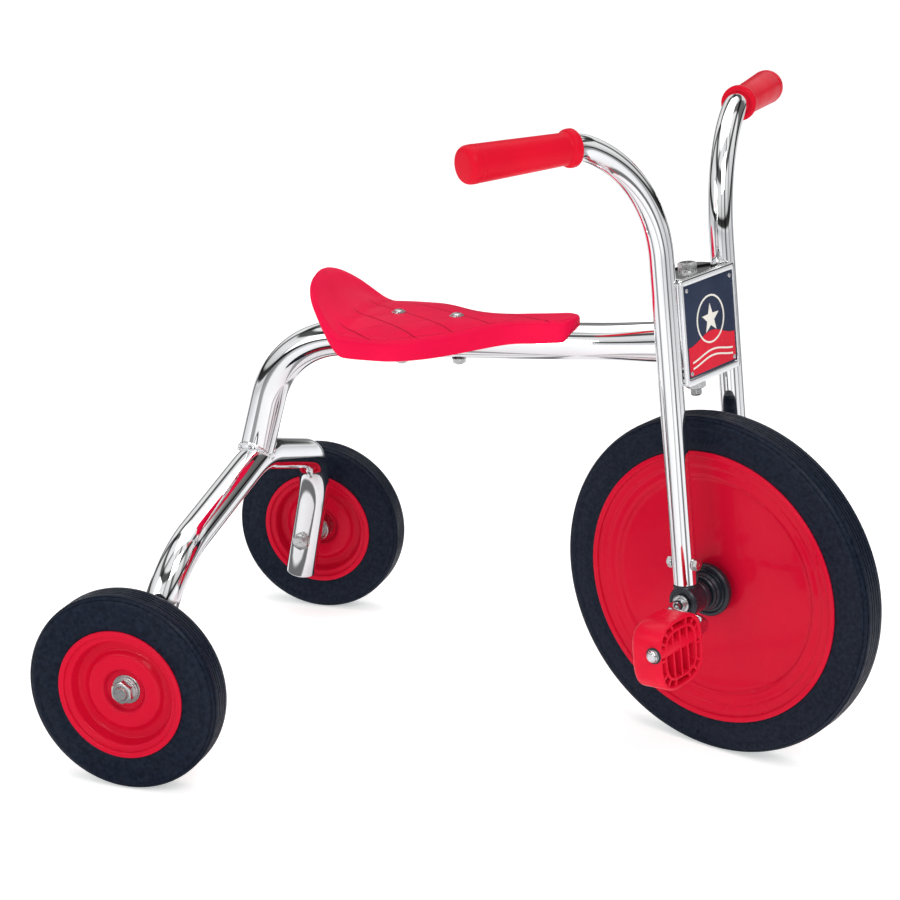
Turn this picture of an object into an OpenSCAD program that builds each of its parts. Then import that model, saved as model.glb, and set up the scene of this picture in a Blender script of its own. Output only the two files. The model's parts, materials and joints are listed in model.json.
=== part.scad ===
// Children's tricycle: bent-tube frame, tube fork with one-piece handlebars,
// direct-drive front wheel with a bent-rod crank, and two small rear wheels.
// +Z is up, the front wheel is at -Y and the rider's left is at +X.
// The origin is on the floor under the middle of the tricycle.
// The steering rests turned to the rider's right.

/* [Wheels] */
// Radius of the front tyre
front_r = 152.4; // [140:0.2:165]
// Width of every tyre
tyre_w = 30.8; // [26:0.2:36]
// Rounding of the tyre shoulders
shoulder_r = 7.4; // [4:0.2:10]
// Outer radius of the front rim's lip
front_lip_r = 122.6; // [112:0.2:130]
// Radius of the rear tyres
rear_r = 87.1; // [80:0.1:95]
// Outer radius of the rear rims' lips
rear_lip_r = 57.2; // [50:0.2:64]
// Distance from the front axle to the rear axle, steered straight
wheelbase = 461; // [440:1:480]
// Distance between the rear tyres' middle planes
track = 446; // [420:1:470]

/* [Steering] */
// Backward lean of the steering axis and the fork
rake = 5.4; // [2:0.1:9]
// Angle the steering rests at, negative to the rider's right
rest_steer = -21.6; // [-40:0.1:40]
// How far the front axle lies ahead of the steering axis
axle_lead = 9; // [4:0.5:14]
// How far the fork tubes lie ahead of the steering axis
tube_lead = 6.1; // [4:0.1:8]
// Distance from the middle to each fork tube
fork_half_w = 44.8; // [42:0.1:50]

/* [Handlebar] */
// Diameter of the fork and handlebar tubes
bar_d = 21; // [19:0.5:23]
// Height along the fork where the handlebar bend starts
bar_bend_z = 294; // [285:1:310]
// Radius of the long handlebar bend
bar_bend_r = 109; // [80:1:120]
// Angle the long bend turns through
bar_bend_angle = 65.7; // [60:0.1:70]
// Radius of the short bend that follows, up to the grip
bar_tuck_r = 34; // [30:1:45]
// Angle the short bend turns through
bar_tuck_angle = 23.2; // [18:0.1:28]
// Direction of the bars, measured outward from straight back
bar_splay = 72.7; // [60:0.1:90]
// Length of a grip
grip_len = 104.5; // [95:0.5:120]
// Diameter of a grip at its collar
grip_d_in = 25.6; // [25:0.1:28]
// Diameter of a grip at its closed end
grip_d_out = 30.6; // [28:0.1:34]
// Diameter of the collar
collar_d = 31; // [29:0.5:36]

/* [Frame] */
// Diameter of the backbone tube
backbone_d = 31.8; // [28:0.2:34]
// Diameter of the backbone where it meets the head
backbone_head_d = 35; // [32:0.5:38]
// Downward slope of the backbone
backbone_slope = 3.06; // [1:0.02:6]
// Radius of the backbone's rear bend
backbone_bend_r = 81; // [60:1:100]
// Backward lean of the backbone's rear leg
leg_lean = 15.2; // [10:0.2:20]
// Diameter of the rear arch tube
arch_d = 30; // [27:0.5:33]
// Lean of the plane that the arch is bent in
arch_lean = 12; // [8:0.2:16]
// Downward slope of each arm of the arch
arm_slope = 17; // [10:0.5:24]
// Radius of the bends between the arms and the legs
arch_bend_r = 77; // [50:1:80]
// Outward splay of the arch's legs
leg_splay = 3; // [0:0.5:6]
// Wall thickness of all tubes
wall = 2.1; // [1.5:0.1:3]

/* [Saddle] */
// Width of the saddle
saddle_w = 157; // [145:1:170]
// Width of the saddle's nose
nose_w = 39; // [34:1:46]
// Height of the saddle's back above its seat
back_rise = 36; // [28:1:42]
// Height of the nose above the seat
nose_rise = 7; // [4:0.5:10]
// Depth of the saddle's skirt
skirt = 24; // [20:0.5:26]
// Thickness of the saddle's plastic
saddle_t = 4.5; // [3:0.1:5]

/* [Crank and pedals] */
// Diameter of the crank rod
rod_d = 10; // [9:0.5:12]
// Distance from the wheel's axis to a pedal's axis
crank_throw = 42; // [36:1:60]
// Angle the right crank points below forward
crank_angle = 5; // [-45:1:45]
// Length of a pedal
pedal_len = 60; // [52:1:68]
// Height of a pedal
pedal_h = 58; // [54:1:64]
// Thickness of a pedal
pedal_t = 30; // [24:0.5:32]

/* [Hidden] */

$fn = 64;
cut = 1;                  // overrun of a cutter past the face that it opens
run_gap = 0.3;            // space between faces that move past each other
bore_gap = 0.05;          // radial clearance of a shaft in its bearing

// Front tyre's reach from its centre along a direction that makes the
// given cosine with the axle
function tyre_reach(axial) =
  (front_r - shoulder_r) * sqrt(1 - axial * axial)
  + (tyre_w / 2 - shoulder_r) * abs(axial) + shoulder_r;

front_axle_z = tyre_reach(sin(rest_steer) * sin(rake))
  + axle_lead * sin(rake) * (1 - cos(rest_steer));
front_edge_y = axle_lead * cos(rake) * (1 - cos(rest_steer))
  - tyre_reach(sin(rest_steer) * cos(rake));
middle_y = (front_edge_y + wheelbase + rear_r) / 2;

// Head and bracket, measured along the steering axis from the axle
bracket_low = 184.5;
bracket_high = 275;
bracket_t = 3;
plate_t = 2;
plate_w = 80;
flange_depth = 18;
thrust_t = 2;
bush_flange_t = 3;
head_d = 31;
head_bore_d = 24;
bolt_d = 9.5;
head_low = bracket_low + bracket_t + thrust_t + run_gap + bush_flange_t;
head_high = bracket_high - bracket_t - thrust_t - run_gap - bush_flange_t;

// Backbone, in the plane x = 0 with y measured from the front axle. It ends
// at the arch's apex
apex_y = 431.3;
apex_z = 231.9;
backbone_y = 66;
backbone_z = 361.6;
head_y = 30;
flare_len = 70;
corner_y = 403.3;
corner_z = backbone_z - (corner_y - backbone_y) * tan(backbone_slope);
bend_angle = 90 - backbone_slope - leg_lean;
bend_run = backbone_bend_r * tan(bend_angle / 2);
head_join_z = backbone_z + (backbone_y - head_y) * tan(backbone_slope);
front_run = (corner_y - head_y) / cos(backbone_slope) - bend_run;
leg_run = (corner_z - apex_z) / cos(leg_lean) - bend_run;

// Arch
elbow_x = 176.7;
arch_drop = 189;
apex_bend_r = 90;
elbow_angle = 90 - arm_slope - leg_splay;
elbow_run = arch_bend_r * tan(elbow_angle / 2);
apex_run = apex_bend_r * tan(arm_slope);
apex_sink = apex_bend_r * (1 / cos(arm_slope) - 1);
arm_run = elbow_x / cos(arm_slope) - elbow_run - apex_run;
arch_leg_run = (arch_drop - elbow_x * tan(arm_slope)) / cos(leg_splay) - elbow_run;

// Rear axle, measured outward from the wheel's middle plane
rear_hub_in = 17;
rear_hub_out = 3;
hub_bolt_d = 12;
nut_h = 8;
nut_d = 18;
bolt_head_d = 15;
washer_t = 1.6;
washer_d = 23;
leg_inner_x = -57;
leg_outer_x = -26;

// Crank
housing_in = 31;
housing_out = 57;
housing_d = 28;
rod_bend_r = 13;
journal_half = 67;
arm_x = journal_half + rod_bend_r;
pedal_in = arm_x + rod_bend_r + 7;
pedal_out = pedal_in + pedal_len;
spindle_end = pedal_out + 2;
pedal_front = 6.5;
pedal_sag = 6;            // drop of a pedal's middle below its spindle
sleeve_d = 12.6;
pedal_floor = 3.5;
pedal_rib = 2.4;

tube_end_z = 14;
spigot_d = bar_d - 2 * wall;
spigot_top = 44;
clamp_z = 32;
clamp_d = 6;

// Frames of reference
module from_axle() { translate([0, -middle_y, 0]) children(); }

module on_fork() {
  from_axle()
    translate([0, axle_lead * cos(rake), front_axle_z - axle_lead * sin(rake)])
      rotate([-rake, 0, 0]) rotate([0, 0, rest_steer]) children();
}

module on_head() {
  from_axle()
    translate([0, axle_lead * cos(rake), front_axle_z - axle_lead * sin(rake)])
      rotate([-rake, 0, 0]) children();
}

module on_front_axle() { on_fork() translate([0, -axle_lead, 0]) children(); }

module on_crank() { on_front_axle() rotate([crank_angle, 0, 0]) children(); }

// side is 1 for the rider's left and -1 for the right
module on_side(side) { mirror([side > 0 ? 0 : 1, 0, 0]) children(); }

module on_rear_axle(side) {
  from_axle() on_side(side) translate([track / 2, wheelbase, rear_r]) children();
}

module on_arch() {
  from_axle() translate([0, apex_y, apex_z]) rotate([arch_lean, 0, 0])
    translate([0, 0, -apex_sink]) children();
}

// Tubes: a run goes along +Z, and a bend turns from +Z towards +X. A bend is
// a touch thicker than a run, so that the two meet at a clean edge
bend_step = 0.1;
lap = 0.5;                // overlap of a run with the bends of the arch

module run(length, d) { cylinder(h = length, d = d); }

module after_run(length) { translate([0, 0, length]) children(); }

module bend(radius, angle, d, step = bend_step) {
  translate([radius, 0, 0]) rotate([90, 0, 180])
    rotate_extrude(angle = angle) translate([radius, 0]) circle(d = d + step);
}

module after_bend(radius, angle) {
  translate([radius, 0, 0]) rotate([0, angle, 0]) translate([-radius, 0, 0]) children();
}

// A bar along X from one place to another
module x_bar(from, to, d) {
  translate([from, 0, 0]) rotate([0, 90, 0]) cylinder(h = to - from, d = d);
}

// A solid turned round X from an outline of [radius, x] points
module x_turned(outline) { rotate([0, 90, 0]) rotate_extrude($fn = 96) polygon(outline); }

// A ring along X
module x_ring(from, to, d, bore) {
  difference() {
    x_bar(from, to, d);
    x_bar(from - cut, to + cut, bore);
  }
}

module hexagon_bar(height, across_flats) {
  cylinder(h = height, d = across_flats / cos(30), $fn = 6);
}

// Backbone and head
module backbone_path(d, head_end_d, overrun, step = bend_step) {
  from_axle() translate([0, head_y, head_join_z])
    rotate([90 + backbone_slope, 0, 180]) rotate([0, 0, -90]) {
      cylinder(h = flare_len, d1 = head_end_d, d2 = d + step);
      after_run(flare_len) run(front_run - flare_len, d);
      after_run(front_run) {
        bend(backbone_bend_r, bend_angle, d, step);
        after_bend(backbone_bend_r, bend_angle) run(leg_run + overrun, d);
      }
    }
}

module backbone_tube() {
  color("silver") difference() {
    backbone_path(backbone_d, backbone_head_d, 0);
    backbone_path(backbone_d - 2 * wall, backbone_head_d - 2 * wall, cut, -bend_step);
    on_head() translate([0, 0, head_low - 5]) cylinder(h = head_high - head_low + 10, d = head_d);
    on_arch() arch_path(arch_d, 0);
    saddle_bolt_holes();
  }
}

module head_tube() {
  color("silver") on_head() difference() {
    translate([0, 0, head_low]) cylinder(h = head_high - head_low, d = head_d);
    translate([0, 0, head_low - cut]) cylinder(h = head_high - head_low + 2 * cut, d = head_bore_d);
  }
}

module head_bush() {
  bush_depth = 14;
  difference() {
    union() {
      translate([0, 0, -bush_flange_t]) cylinder(h = bush_flange_t, d = head_d - 1);
      cylinder(h = bush_depth, d = head_bore_d);
    }
    translate([0, 0, -bush_flange_t - cut])
      cylinder(h = bush_flange_t + bush_depth + 2 * cut, d = bolt_d + 2 * bore_gap);
  }
}

module head_bushes() {
  color("dimgray") on_head() {
    translate([0, 0, head_low]) head_bush();
    translate([0, 0, head_high]) mirror([0, 0, 1]) head_bush();
  }
}

// Rear arch
module arch_side(d, overrun, step) {
  rotate([0, 90 + arm_slope, 0]) {
    after_run(-lap) run(arm_run + 2 * lap, d);
    after_run(arm_run) {
      bend(arch_bend_r, elbow_angle, d, step);
      after_bend(arch_bend_r, elbow_angle) after_run(-lap) run(arch_leg_run + overrun + lap, d);
    }
  }
}

module arch_path(d, overrun, step = bend_step) {
  arm_start = [apex_bend_r * sin(arm_slope), 0, -apex_bend_r * (1 - cos(arm_slope))];
  translate([-arm_start[0], 0, arm_start[2]]) rotate([0, 90 - arm_slope, 0])
    bend(apex_bend_r, 2 * arm_slope, d, step);
  for (side = [-1, 1]) on_side(side) translate(arm_start) arch_side(d, overrun, step);
}

module rear_arch_tube() {
  color("silver") difference() {
    on_arch() arch_path(arch_d, 0);
    on_arch() arch_path(arch_d - 2 * wall, cut, -bend_step);
    for (side = [-1, 1]) on_rear_axle(side) x_bar(-80, -10, hub_bolt_d);
  }
}

// Saddle
nose_y = 128;
nose_round = 14;
flare_from_y = 183;
flare_to_y = 281.5;
back_from_y = 297;
back_y = 364;
rise_from_y = 318;
seat_z = 373.4;
bolt_y = [238, 291.5];
saddle_bolt_d = 6;
saddle_head_d = 13;
outline_steps = 40;

function smooth_step(t) = let (u = min(max(t, 0), 1)) u * u * (3 - 2 * u);

function round_end(t) = sqrt(max(0, 1 - t * t));

function round_back(t) = pow(max(0, 1 - t * t), 0.36);

// Half the saddle's width at a place along it
function saddle_half_w(y) =
  let (body = nose_w / 2
         + (saddle_w - nose_w) / 2 * smooth_step((y - flare_from_y) / (flare_to_y - flare_from_y)),
       nose = y < nose_y + nose_round ? round_end((nose_y + nose_round - y) / nose_round) : 1,
       back = y > back_from_y ? round_back((y - back_from_y) / (back_y - back_from_y)) : 1)
  body * nose * back;

// Height of the saddle's top along its middle
function saddle_top(y) =
  seat_z + nose_rise * pow(max(0, 260 - y) / 132, 2)
  + back_rise * pow(max(0, y - rise_from_y) / (back_y - rise_from_y), 1.7);

// Places along the saddle, closer together towards its round ends
function saddle_y(i, grow) =
  let (low = nose_y - grow, high = back_y + grow)
  low + (high - low) * (1 - cos(180 * i / outline_steps)) / 2;

module saddle_plan(grow) {
  steps = [for (i = [0:outline_steps]) saddle_y(i, grow)];
  squeeze = (back_y - nose_y) / (back_y - nose_y + 2 * grow);
  side = [for (y = steps)
    [max(0, saddle_half_w(nose_y + (y - nose_y + grow) * squeeze) + grow), y]];
  polygon(concat(side, [for (i = [outline_steps:-1:0]) [-side[i][0], side[i][1]]]));
}

module saddle_profile(drop, depth) {
  steps = [for (i = [0:outline_steps]) saddle_y(i, cut)];
  polygon(concat(
    [for (y = steps) [y, saddle_top(y) - drop]],
    [for (i = [outline_steps:-1:0]) [steps[i], saddle_top(steps[i]) - depth]]));
}

module saddle_block(grow, drop, depth) {
  intersection() {
    linear_extrude(500) saddle_plan(grow);
    rotate([90, 0, 90]) linear_extrude(saddle_w + 2, center = true) saddle_profile(drop, depth);
  }
}

module saddle() {
  color("red") difference() {
    from_axle() saddle_block(0, 0, skirt);
    from_axle() saddle_block(-saddle_t, saddle_t, skirt + cut);
    backbone_path(backbone_d, backbone_head_d, 0);
    saddle_bolt_holes();
    for (y = bolt_y) at_saddle_bolt(y) cylinder(h = 10, d = saddle_head_d);
  }
}

module at_saddle_bolt(y) {
  from_axle() translate([0, y, saddle_top(y)]) rotate([-backbone_slope, 0, 0]) children();
}

module saddle_bolt_holes() {
  for (y = bolt_y) at_saddle_bolt(y) translate([0, 0, -60]) cylinder(h = 70, d = saddle_bolt_d);
}

// Distance from the saddle's top to the bottom of the backbone
function saddle_grip(y) =
  saddle_top(y) - backbone_z + (y - backbone_y) * tan(backbone_slope) + backbone_d / 2;

module saddle_bolts() {
  color("silver") for (y = bolt_y) at_saddle_bolt(y) {
    translate([0, 0, -saddle_grip(y) - 6]) cylinder(h = saddle_grip(y) + 6, d = saddle_bolt_d);
    cylinder(h = 1, d = saddle_head_d);
    translate([0, 0, 1]) cylinder(h = 1.6, d1 = saddle_head_d, d2 = saddle_head_d - 6);
  }
}

module saddle_nuts() {
  color("silver") for (y = bolt_y) at_saddle_bolt(y)
    translate([0, 0, -saddle_grip(y)]) mirror([0, 0, 1]) difference() {
      union() {
        cylinder(h = 1.2, d = 13);
        hexagon_bar(5, 10);
      }
      translate([0, 0, -cut]) cylinder(h = 8, d = saddle_bolt_d);
    }
}

// Rear axle
module rear_axle_bolt(side) {
  color("silver") on_rear_axle(side) {
    x_bar(leg_inner_x, rear_hub_out + washer_t + nut_h + 1.5, hub_bolt_d);
    x_bar(leg_inner_x - 1.2, leg_inner_x, bolt_head_d + 3);
    translate([leg_inner_x - 5.2, 0, 0]) rotate([0, 90, 0]) hexagon_bar(5, bolt_head_d);
  }
}

module rear_axle_bolt_left() { rear_axle_bolt(1); }
module rear_axle_bolt_right() { rear_axle_bolt(-1); }

module rear_axle_spacers() {
  color("silver") for (side = [-1, 1])
    on_rear_axle(side) x_ring(leg_outer_x + 0.2, -rear_hub_in - run_gap, washer_d - 5, hub_bolt_d);
}

module rear_axle_washers() {
  color("silver") for (side = [-1, 1])
    on_rear_axle(side)
      x_ring(rear_hub_out + run_gap, rear_hub_out + washer_t, washer_d, hub_bolt_d);
}

module rear_axle_nuts() {
  color("silver") for (side = [-1, 1]) on_rear_axle(side)
    translate([rear_hub_out + washer_t, 0, 0]) rotate([0, 90, 0]) difference() {
      union() {
        cylinder(h = 1.2, d = washer_d - 2);
        hexagon_bar(nut_h, nut_d);
      }
      translate([0, 0, -cut]) cylinder(h = nut_h + 2 * cut, d = hub_bolt_d);
    }
}

// Fork and handlebar
module fork_tube_path(d, overrun, step = bend_step) {
  translate([fork_half_w, -tube_lead, 0]) rotate([0, 0, 90 - bar_splay]) {
    after_run(tube_end_z - overrun) run(bar_bend_z - tube_end_z + overrun, d);
    after_run(bar_bend_z) {
      bend(bar_bend_r, bar_bend_angle, d, step);
      after_bend(bar_bend_r, bar_bend_angle) {
        bend(bar_tuck_r, bar_tuck_angle, d, 2 * step);
        after_bend(bar_tuck_r, bar_tuck_angle) run(grip_len - 6 + overrun, d);
      }
    }
  }
}

module fork_tube(side) {
  color("silver") on_fork() on_side(side) difference() {
    fork_tube_path(bar_d, 0);
    fork_tube_path(bar_d - 2 * wall, cut, -bend_step);
    at_clamp() cylinder(h = 2 * bar_d, d = clamp_d, center = true);
  }
}

module fork_tube_left() { fork_tube(1); }
module fork_tube_right() { fork_tube(-1); }

module at_clamp() {
  translate([fork_half_w, -tube_lead, clamp_z]) rotate([90, 0, 0]) children();
}

module head_bracket() {
  plate_y = -tube_lead - bar_d / 2 - plate_t;
  inner_w = 2 * fork_half_w - bar_d;
  color("silver") on_fork() difference() {
    union() {
      translate([-plate_w / 2, plate_y, bracket_low])
        cube([plate_w, plate_t, bracket_high - bracket_low]);
      for (z = [bracket_low, bracket_high - bracket_t])
        translate([-inner_w / 2, plate_y + cut, z])
          cube([inner_w, flange_depth - plate_y - cut, bracket_t]);
    }
    translate([0, 0, bracket_low - cut])
      cylinder(h = bracket_high - bracket_low + 2 * cut, d = bolt_d);
  }
}

badge_w = 72;
badge_h = 78;
badge_t = 1.2;
rivet_d = 3;

module on_badge() {
  translate([0, -tube_lead - bar_d / 2 - plate_t, (bracket_low + bracket_high) / 2])
    rotate([90, 0, 0]) children();
}

module badge_plate() {
  color("midnightblue") on_fork() on_badge() linear_extrude(badge_t)
    square([badge_w, badge_h], center = true);
}

module badge_rivets() {
  color("silver") on_fork() on_badge()
    for (x = [-1, 1]) for (y = [-1, 1])
      translate([x * (badge_w / 2 - 4), y * (badge_h / 2 - 4), badge_t])
        cylinder(h = 0.8, d1 = rivet_d + 1, d2 = rivet_d - 1);
}

module steering_bolt() {
  color("silver") on_fork() {
    translate([0, 0, bracket_low - 17]) cylinder(h = bracket_high - bracket_low + 17, d = bolt_d);
    translate([0, 0, bracket_high]) cylinder(h = 1.5, d = 17);
    translate([0, 0, bracket_high + 1.5]) hexagon_bar(6.5, 15);
  }
}

module steering_washers() {
  color("silver") on_fork() {
    for (z = [bracket_low + bracket_t, bracket_high - bracket_t - thrust_t])
      translate([0, 0, z]) difference() {
        cylinder(h = thrust_t, d = head_d - 3);
        translate([0, 0, -cut]) cylinder(h = thrust_t + 2 * cut, d = bolt_d);
      }
    translate([0, 0, bracket_low - 1.5]) difference() {
      cylinder(h = 1.5, d = 19);
      translate([0, 0, -cut]) cylinder(h = 4, d = bolt_d);
    }
  }
}

module steering_nut() {
  color("silver") on_fork() translate([0, 0, bracket_low - 10.5]) difference() {
    hexagon_bar(9, 15);
    translate([0, 0, -cut]) cylinder(h = 9 + 2 * cut, d = bolt_d);
  }
}

module grip(side) {
  collar_len = 9;
  end_round = 3;
  color("red") on_fork() on_side(side)
    translate([fork_half_w, -tube_lead, 0]) rotate([0, 0, 90 - bar_splay])
      after_run(bar_bend_z) after_bend(bar_bend_r, bar_bend_angle)
        after_bend(bar_tuck_r, bar_tuck_angle) difference() {
          union() {
            cylinder(h = 2, d1 = collar_d - 4, d2 = collar_d);
            translate([0, 0, 2]) cylinder(h = collar_len - 4, d = collar_d);
            translate([0, 0, collar_len - 2]) cylinder(h = 2, d1 = collar_d, d2 = collar_d - 4);
            translate([0, 0, 2]) cylinder(h = grip_len - end_round - 2, d1 = grip_d_in, d2 = grip_d_out);
            translate([0, 0, grip_len - end_round])
              cylinder(h = end_round, d1 = grip_d_out, d2 = grip_d_out - 2 * end_round);
          }
          translate([0, 0, -cut]) cylinder(h = grip_len - 6 + cut, d = bar_d);
        }
}

module grip_left() { grip(1); }
module grip_right() { grip(-1); }

// Crank housings, clamped in the lower ends of the fork tubes
module crank_housing(side) {
  color("dimgray") on_fork() on_side(side) difference() {
    union() {
      translate([0, -axle_lead, 0]) x_bar(housing_in, housing_out, housing_d);
      translate([fork_half_w, -tube_lead, 0]) cylinder(h = tube_end_z, d = bar_d);
      translate([fork_half_w, -tube_lead, 0]) cylinder(h = spigot_top, d = spigot_d);
    }
    translate([0, -axle_lead, 0]) x_bar(housing_in - cut, housing_out + cut, rod_d + 4);
    at_clamp() cylinder(h = 2 * bar_d, d = clamp_d, center = true);
  }
}

module crank_housing_left() { crank_housing(1); }
module crank_housing_right() { crank_housing(-1); }

clamp_seat = 9;           // from the tube's middle to where the clamp bolt's head sits

module housing_bolts() {
  color("silver") on_fork() for (side = [-1, 1]) on_side(side) at_clamp() {
    translate([0, 0, -clamp_seat - 6.4]) cylinder(h = 2 * clamp_seat + 6.4, d = clamp_d);
    translate([0, 0, bar_d / 2]) cylinder(h = 1.2, d = 11);
    translate([0, 0, clamp_seat - cut]) cylinder(h = 3, d = clamp_d);
    translate([0, 0, bar_d / 2 + 1.2]) hexagon_bar(3.6, 10);
  }
}

module housing_nuts() {
  color("silver") on_fork() for (side = [-1, 1]) on_side(side) at_clamp() mirror([0, 0, 1])
    translate([0, 0, bar_d / 2]) difference() {
      union() {
        cylinder(h = 1.2, d = 11);
        hexagon_bar(5, 10);
      }
      translate([0, 0, -cut]) cylinder(h = 8, d = clamp_d);
    }
}

module crank_bushes() {
  color("silver") on_front_axle() for (side = [-1, 1]) on_side(side)
    x_ring(housing_in, housing_out, rod_d + 4, rod_d + 2 * bore_gap);
}

// Front wheel
rim_t = 1.6;
lip_x = 16.5;
channel_x = 13.9;
front_channel_r = front_lip_r - 4.6;
front_face_x = 8;
hub_r = 15;
wide_flange_d = 47.5;
narrow_flange_d = 34;
flange_from_x = 15.5;
flange_to_x = 22;
flange_end_x = housing_in - 1.5;

// Half an outline is mirrored to make the whole tyre
module tyre(outer_r, lip_r, channel_r) {
  edge_r = outer_r - shoulder_r;
  edge_x = tyre_w / 2 - shoulder_r;
  half = concat([[channel_r, channel_x], [lip_r + 0.01, channel_x], [lip_r + 0.01, tyre_w / 2]],
                [for (a = [0:15:90]) [edge_r + shoulder_r * sin(a), edge_x + shoulder_r * cos(a)]]);
  last = len(half) - 1;
  x_turned(concat(half, [for (i = [last:-1:0]) [half[i][0], -half[i][1]]]));
}

module front_tyre() {
  color("#15181c") on_front_axle() tyre(front_r, front_lip_r, front_channel_r);
}

module rim_half(lip_r, channel_r, face) {
  back = [for (i = [len(face) - 1:-1:0]) [face[i][0], face[i][1] - rim_t]];
  x_turned(concat(face,
    [[channel_r - rim_t / 2, face[len(face) - 1][1]], [channel_r, lip_x], [lip_r, lip_x],
     [lip_r, channel_x], [channel_r, channel_x], [channel_r, 0],
     [channel_r - rim_t, 0], [channel_r - rim_t, face[len(face) - 1][1] - rim_t]], back));
}

module front_rim(side) {
  color("red") on_front_axle() on_side(side)
    rim_half(front_lip_r, front_channel_r,
      [[hub_r, front_face_x], [95, front_face_x], [100, front_face_x + 4],
       [front_channel_r - 5, front_face_x + 4]]);
}

module front_rim_left() { front_rim(1); }
module front_rim_right() { front_rim(-1); }

module front_hub() {
  color("silver") on_front_axle() difference() {
    x_ring(-front_face_x - 6, front_face_x + 6, 2 * hub_r, rod_d);
    rotate([crank_angle, 0, 0]) cylinder(h = 3 * hub_r, d = 4, center = true);
  }
}

module hub_flange(side) {
  color("dimgray") on_front_axle() on_side(side) difference() {
    union() {
      x_bar(front_face_x, flange_end_x, narrow_flange_d);
      x_bar(flange_from_x, flange_to_x, wide_flange_d);
    }
    x_bar(front_face_x - cut, front_face_x + 6, 2 * hub_r);
    x_bar(front_face_x, flange_end_x + cut, rod_d);
  }
}

module hub_flange_left() { hub_flange(1); }
module hub_flange_right() { hub_flange(-1); }

module hub_drive_pin() {
  color("silver") on_crank() cylinder(h = 2 * hub_r - 2, d = 4, center = true);
}

// One arm and spindle of the bent rod, with the arm pointing to -Y
module crank_end(d) {
  straight = crank_throw - 2 * rod_bend_r;
  translate([journal_half, 0, 0]) rotate([90, 0, 0]) rotate([0, 90, 0]) rotate([0, 0, 180]) {
    bend(rod_bend_r, 90, d);
    after_bend(rod_bend_r, 90) {
      run(straight, d);
      after_run(straight) mirror([1, 0, 0]) {
        bend(rod_bend_r, 90, d);
        after_bend(rod_bend_r, 90) run(spindle_end - arm_x - rod_bend_r, d);
      }
    }
  }
}

module crank_rod() {
  color("silver") on_crank() difference() {
    union() {
      x_bar(-journal_half, journal_half, rod_d);
      mirror([1, 0, 0]) crank_end(rod_d);
      rotate([180, 0, 0]) crank_end(rod_d);
    }
    cylinder(h = 3 * hub_r, d = 4, center = true);
  }
}

module crank_washers() {
  color("silver") on_front_axle() for (side = [-1, 1]) on_side(side) {
    x_ring(flange_end_x, housing_in - run_gap, rod_d + 8, rod_d);
    x_ring(housing_out + run_gap, housing_out + 2, rod_d + 6, rod_d);
  }
}

// The right pedal is ahead of the axle and the left one behind
module on_pedal(side) {
  on_crank() translate([0, side * crank_throw, 0]) rotate([-crank_angle, 0, 0])
    on_side(side) children();
}

module pedal_push_nuts() {
  color("silver") for (side = [-1, 1]) on_pedal(side)
    x_ring(pedal_out + run_gap, spindle_end - 0.4, rod_d + 4, rod_d);
}

// Outline of a pedal along its spindle and its height: an oval with flat sides
function pedal_outline(length, height) =
  [for (a = [0:10:350])
    [length / 2 * sign(cos(a)) * pow(abs(cos(a)), 0.62),
     height / 2 * sign(sin(a)) * pow(abs(sin(a)), 0.62)]];

module pedal_cells() {
  inner_l = pedal_len - 16;
  inner_h = pedal_h - 16;
  columns = 4;
  pitch = inner_l / columns;
  intersection() {
    linear_extrude(pedal_t) polygon(pedal_outline(inner_l, inner_h));
    for (i = [0:columns - 1])
      translate([-inner_l / 2 + i * pitch + pedal_rib / 2, -pedal_h / 2, 0])
        cube([pitch - pedal_rib, pedal_h, pedal_t]);
  }
}

module pedal(side) {
  color("red") on_pedal(side) translate([pedal_in + pedal_len / 2, 0, 0]) difference() {
    union() {
      translate([0, pedal_t - pedal_front, -pedal_sag]) rotate([90, 0, 0]) difference() {
        linear_extrude(pedal_t) polygon(pedal_outline(pedal_len, pedal_h));
        translate([0, 0, pedal_floor]) pedal_cells();
      }
      x_bar(-pedal_len / 2 + 4, pedal_len / 2 - 4, sleeve_d);
    }
    x_bar(-pedal_len / 2 - cut, pedal_len / 2 + cut, sleeve_d);
  }
}

module pedal_left() { pedal(1); }
module pedal_right() { pedal(-1); }

module pedal_sleeve(side) {
  color("dimgray") on_pedal(side) x_ring(pedal_in, pedal_out, sleeve_d, rod_d + 2 * bore_gap);
}

module pedal_sleeve_left() { pedal_sleeve(1); }
module pedal_sleeve_right() { pedal_sleeve(-1); }

// Rear wheels
rear_channel_r = rear_lip_r - 4.6;
rear_hub_r = 13;
bearing_d = 20;
bearing_len = 9;

module rear_tyre(side) {
  color("#15181c") on_rear_axle(side) tyre(rear_r, rear_lip_r, rear_channel_r);
}

module rear_tyre_left() { rear_tyre(1); }
module rear_tyre_right() { rear_tyre(-1); }

module rear_rim_half() {
  rim_half(rear_lip_r, rear_channel_r,
    [[rear_hub_r, 2.5], [16, 2.5], [20, 7.5], [31, 7.5], [36, 3], [43, 3], [47, 13],
     [rear_channel_r - 3, 13]]);
}

module rear_rim_outer(side) { color("red") on_rear_axle(side) rear_rim_half(); }
module rear_rim_inner(side) { color("red") on_rear_axle(side) mirror([1, 0, 0]) rear_rim_half(); }
module rear_rim_outer_left() { rear_rim_outer(1); }
module rear_rim_outer_right() { rear_rim_outer(-1); }
module rear_rim_inner_left() { rear_rim_inner(1); }
module rear_rim_inner_right() { rear_rim_inner(-1); }

module rear_hub(side) {
  color("silver") on_rear_axle(side) x_ring(-rear_hub_in, rear_hub_out, 2 * rear_hub_r, bearing_d);
}

module rear_hub_left() { rear_hub(1); }
module rear_hub_right() { rear_hub(-1); }

module rear_bearings(side) {
  color("gray") on_rear_axle(side) for (start = [-rear_hub_in, rear_hub_out - bearing_len])
    x_ring(start, start + bearing_len, bearing_d, hub_bolt_d + 2 * bore_gap);
}

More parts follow.
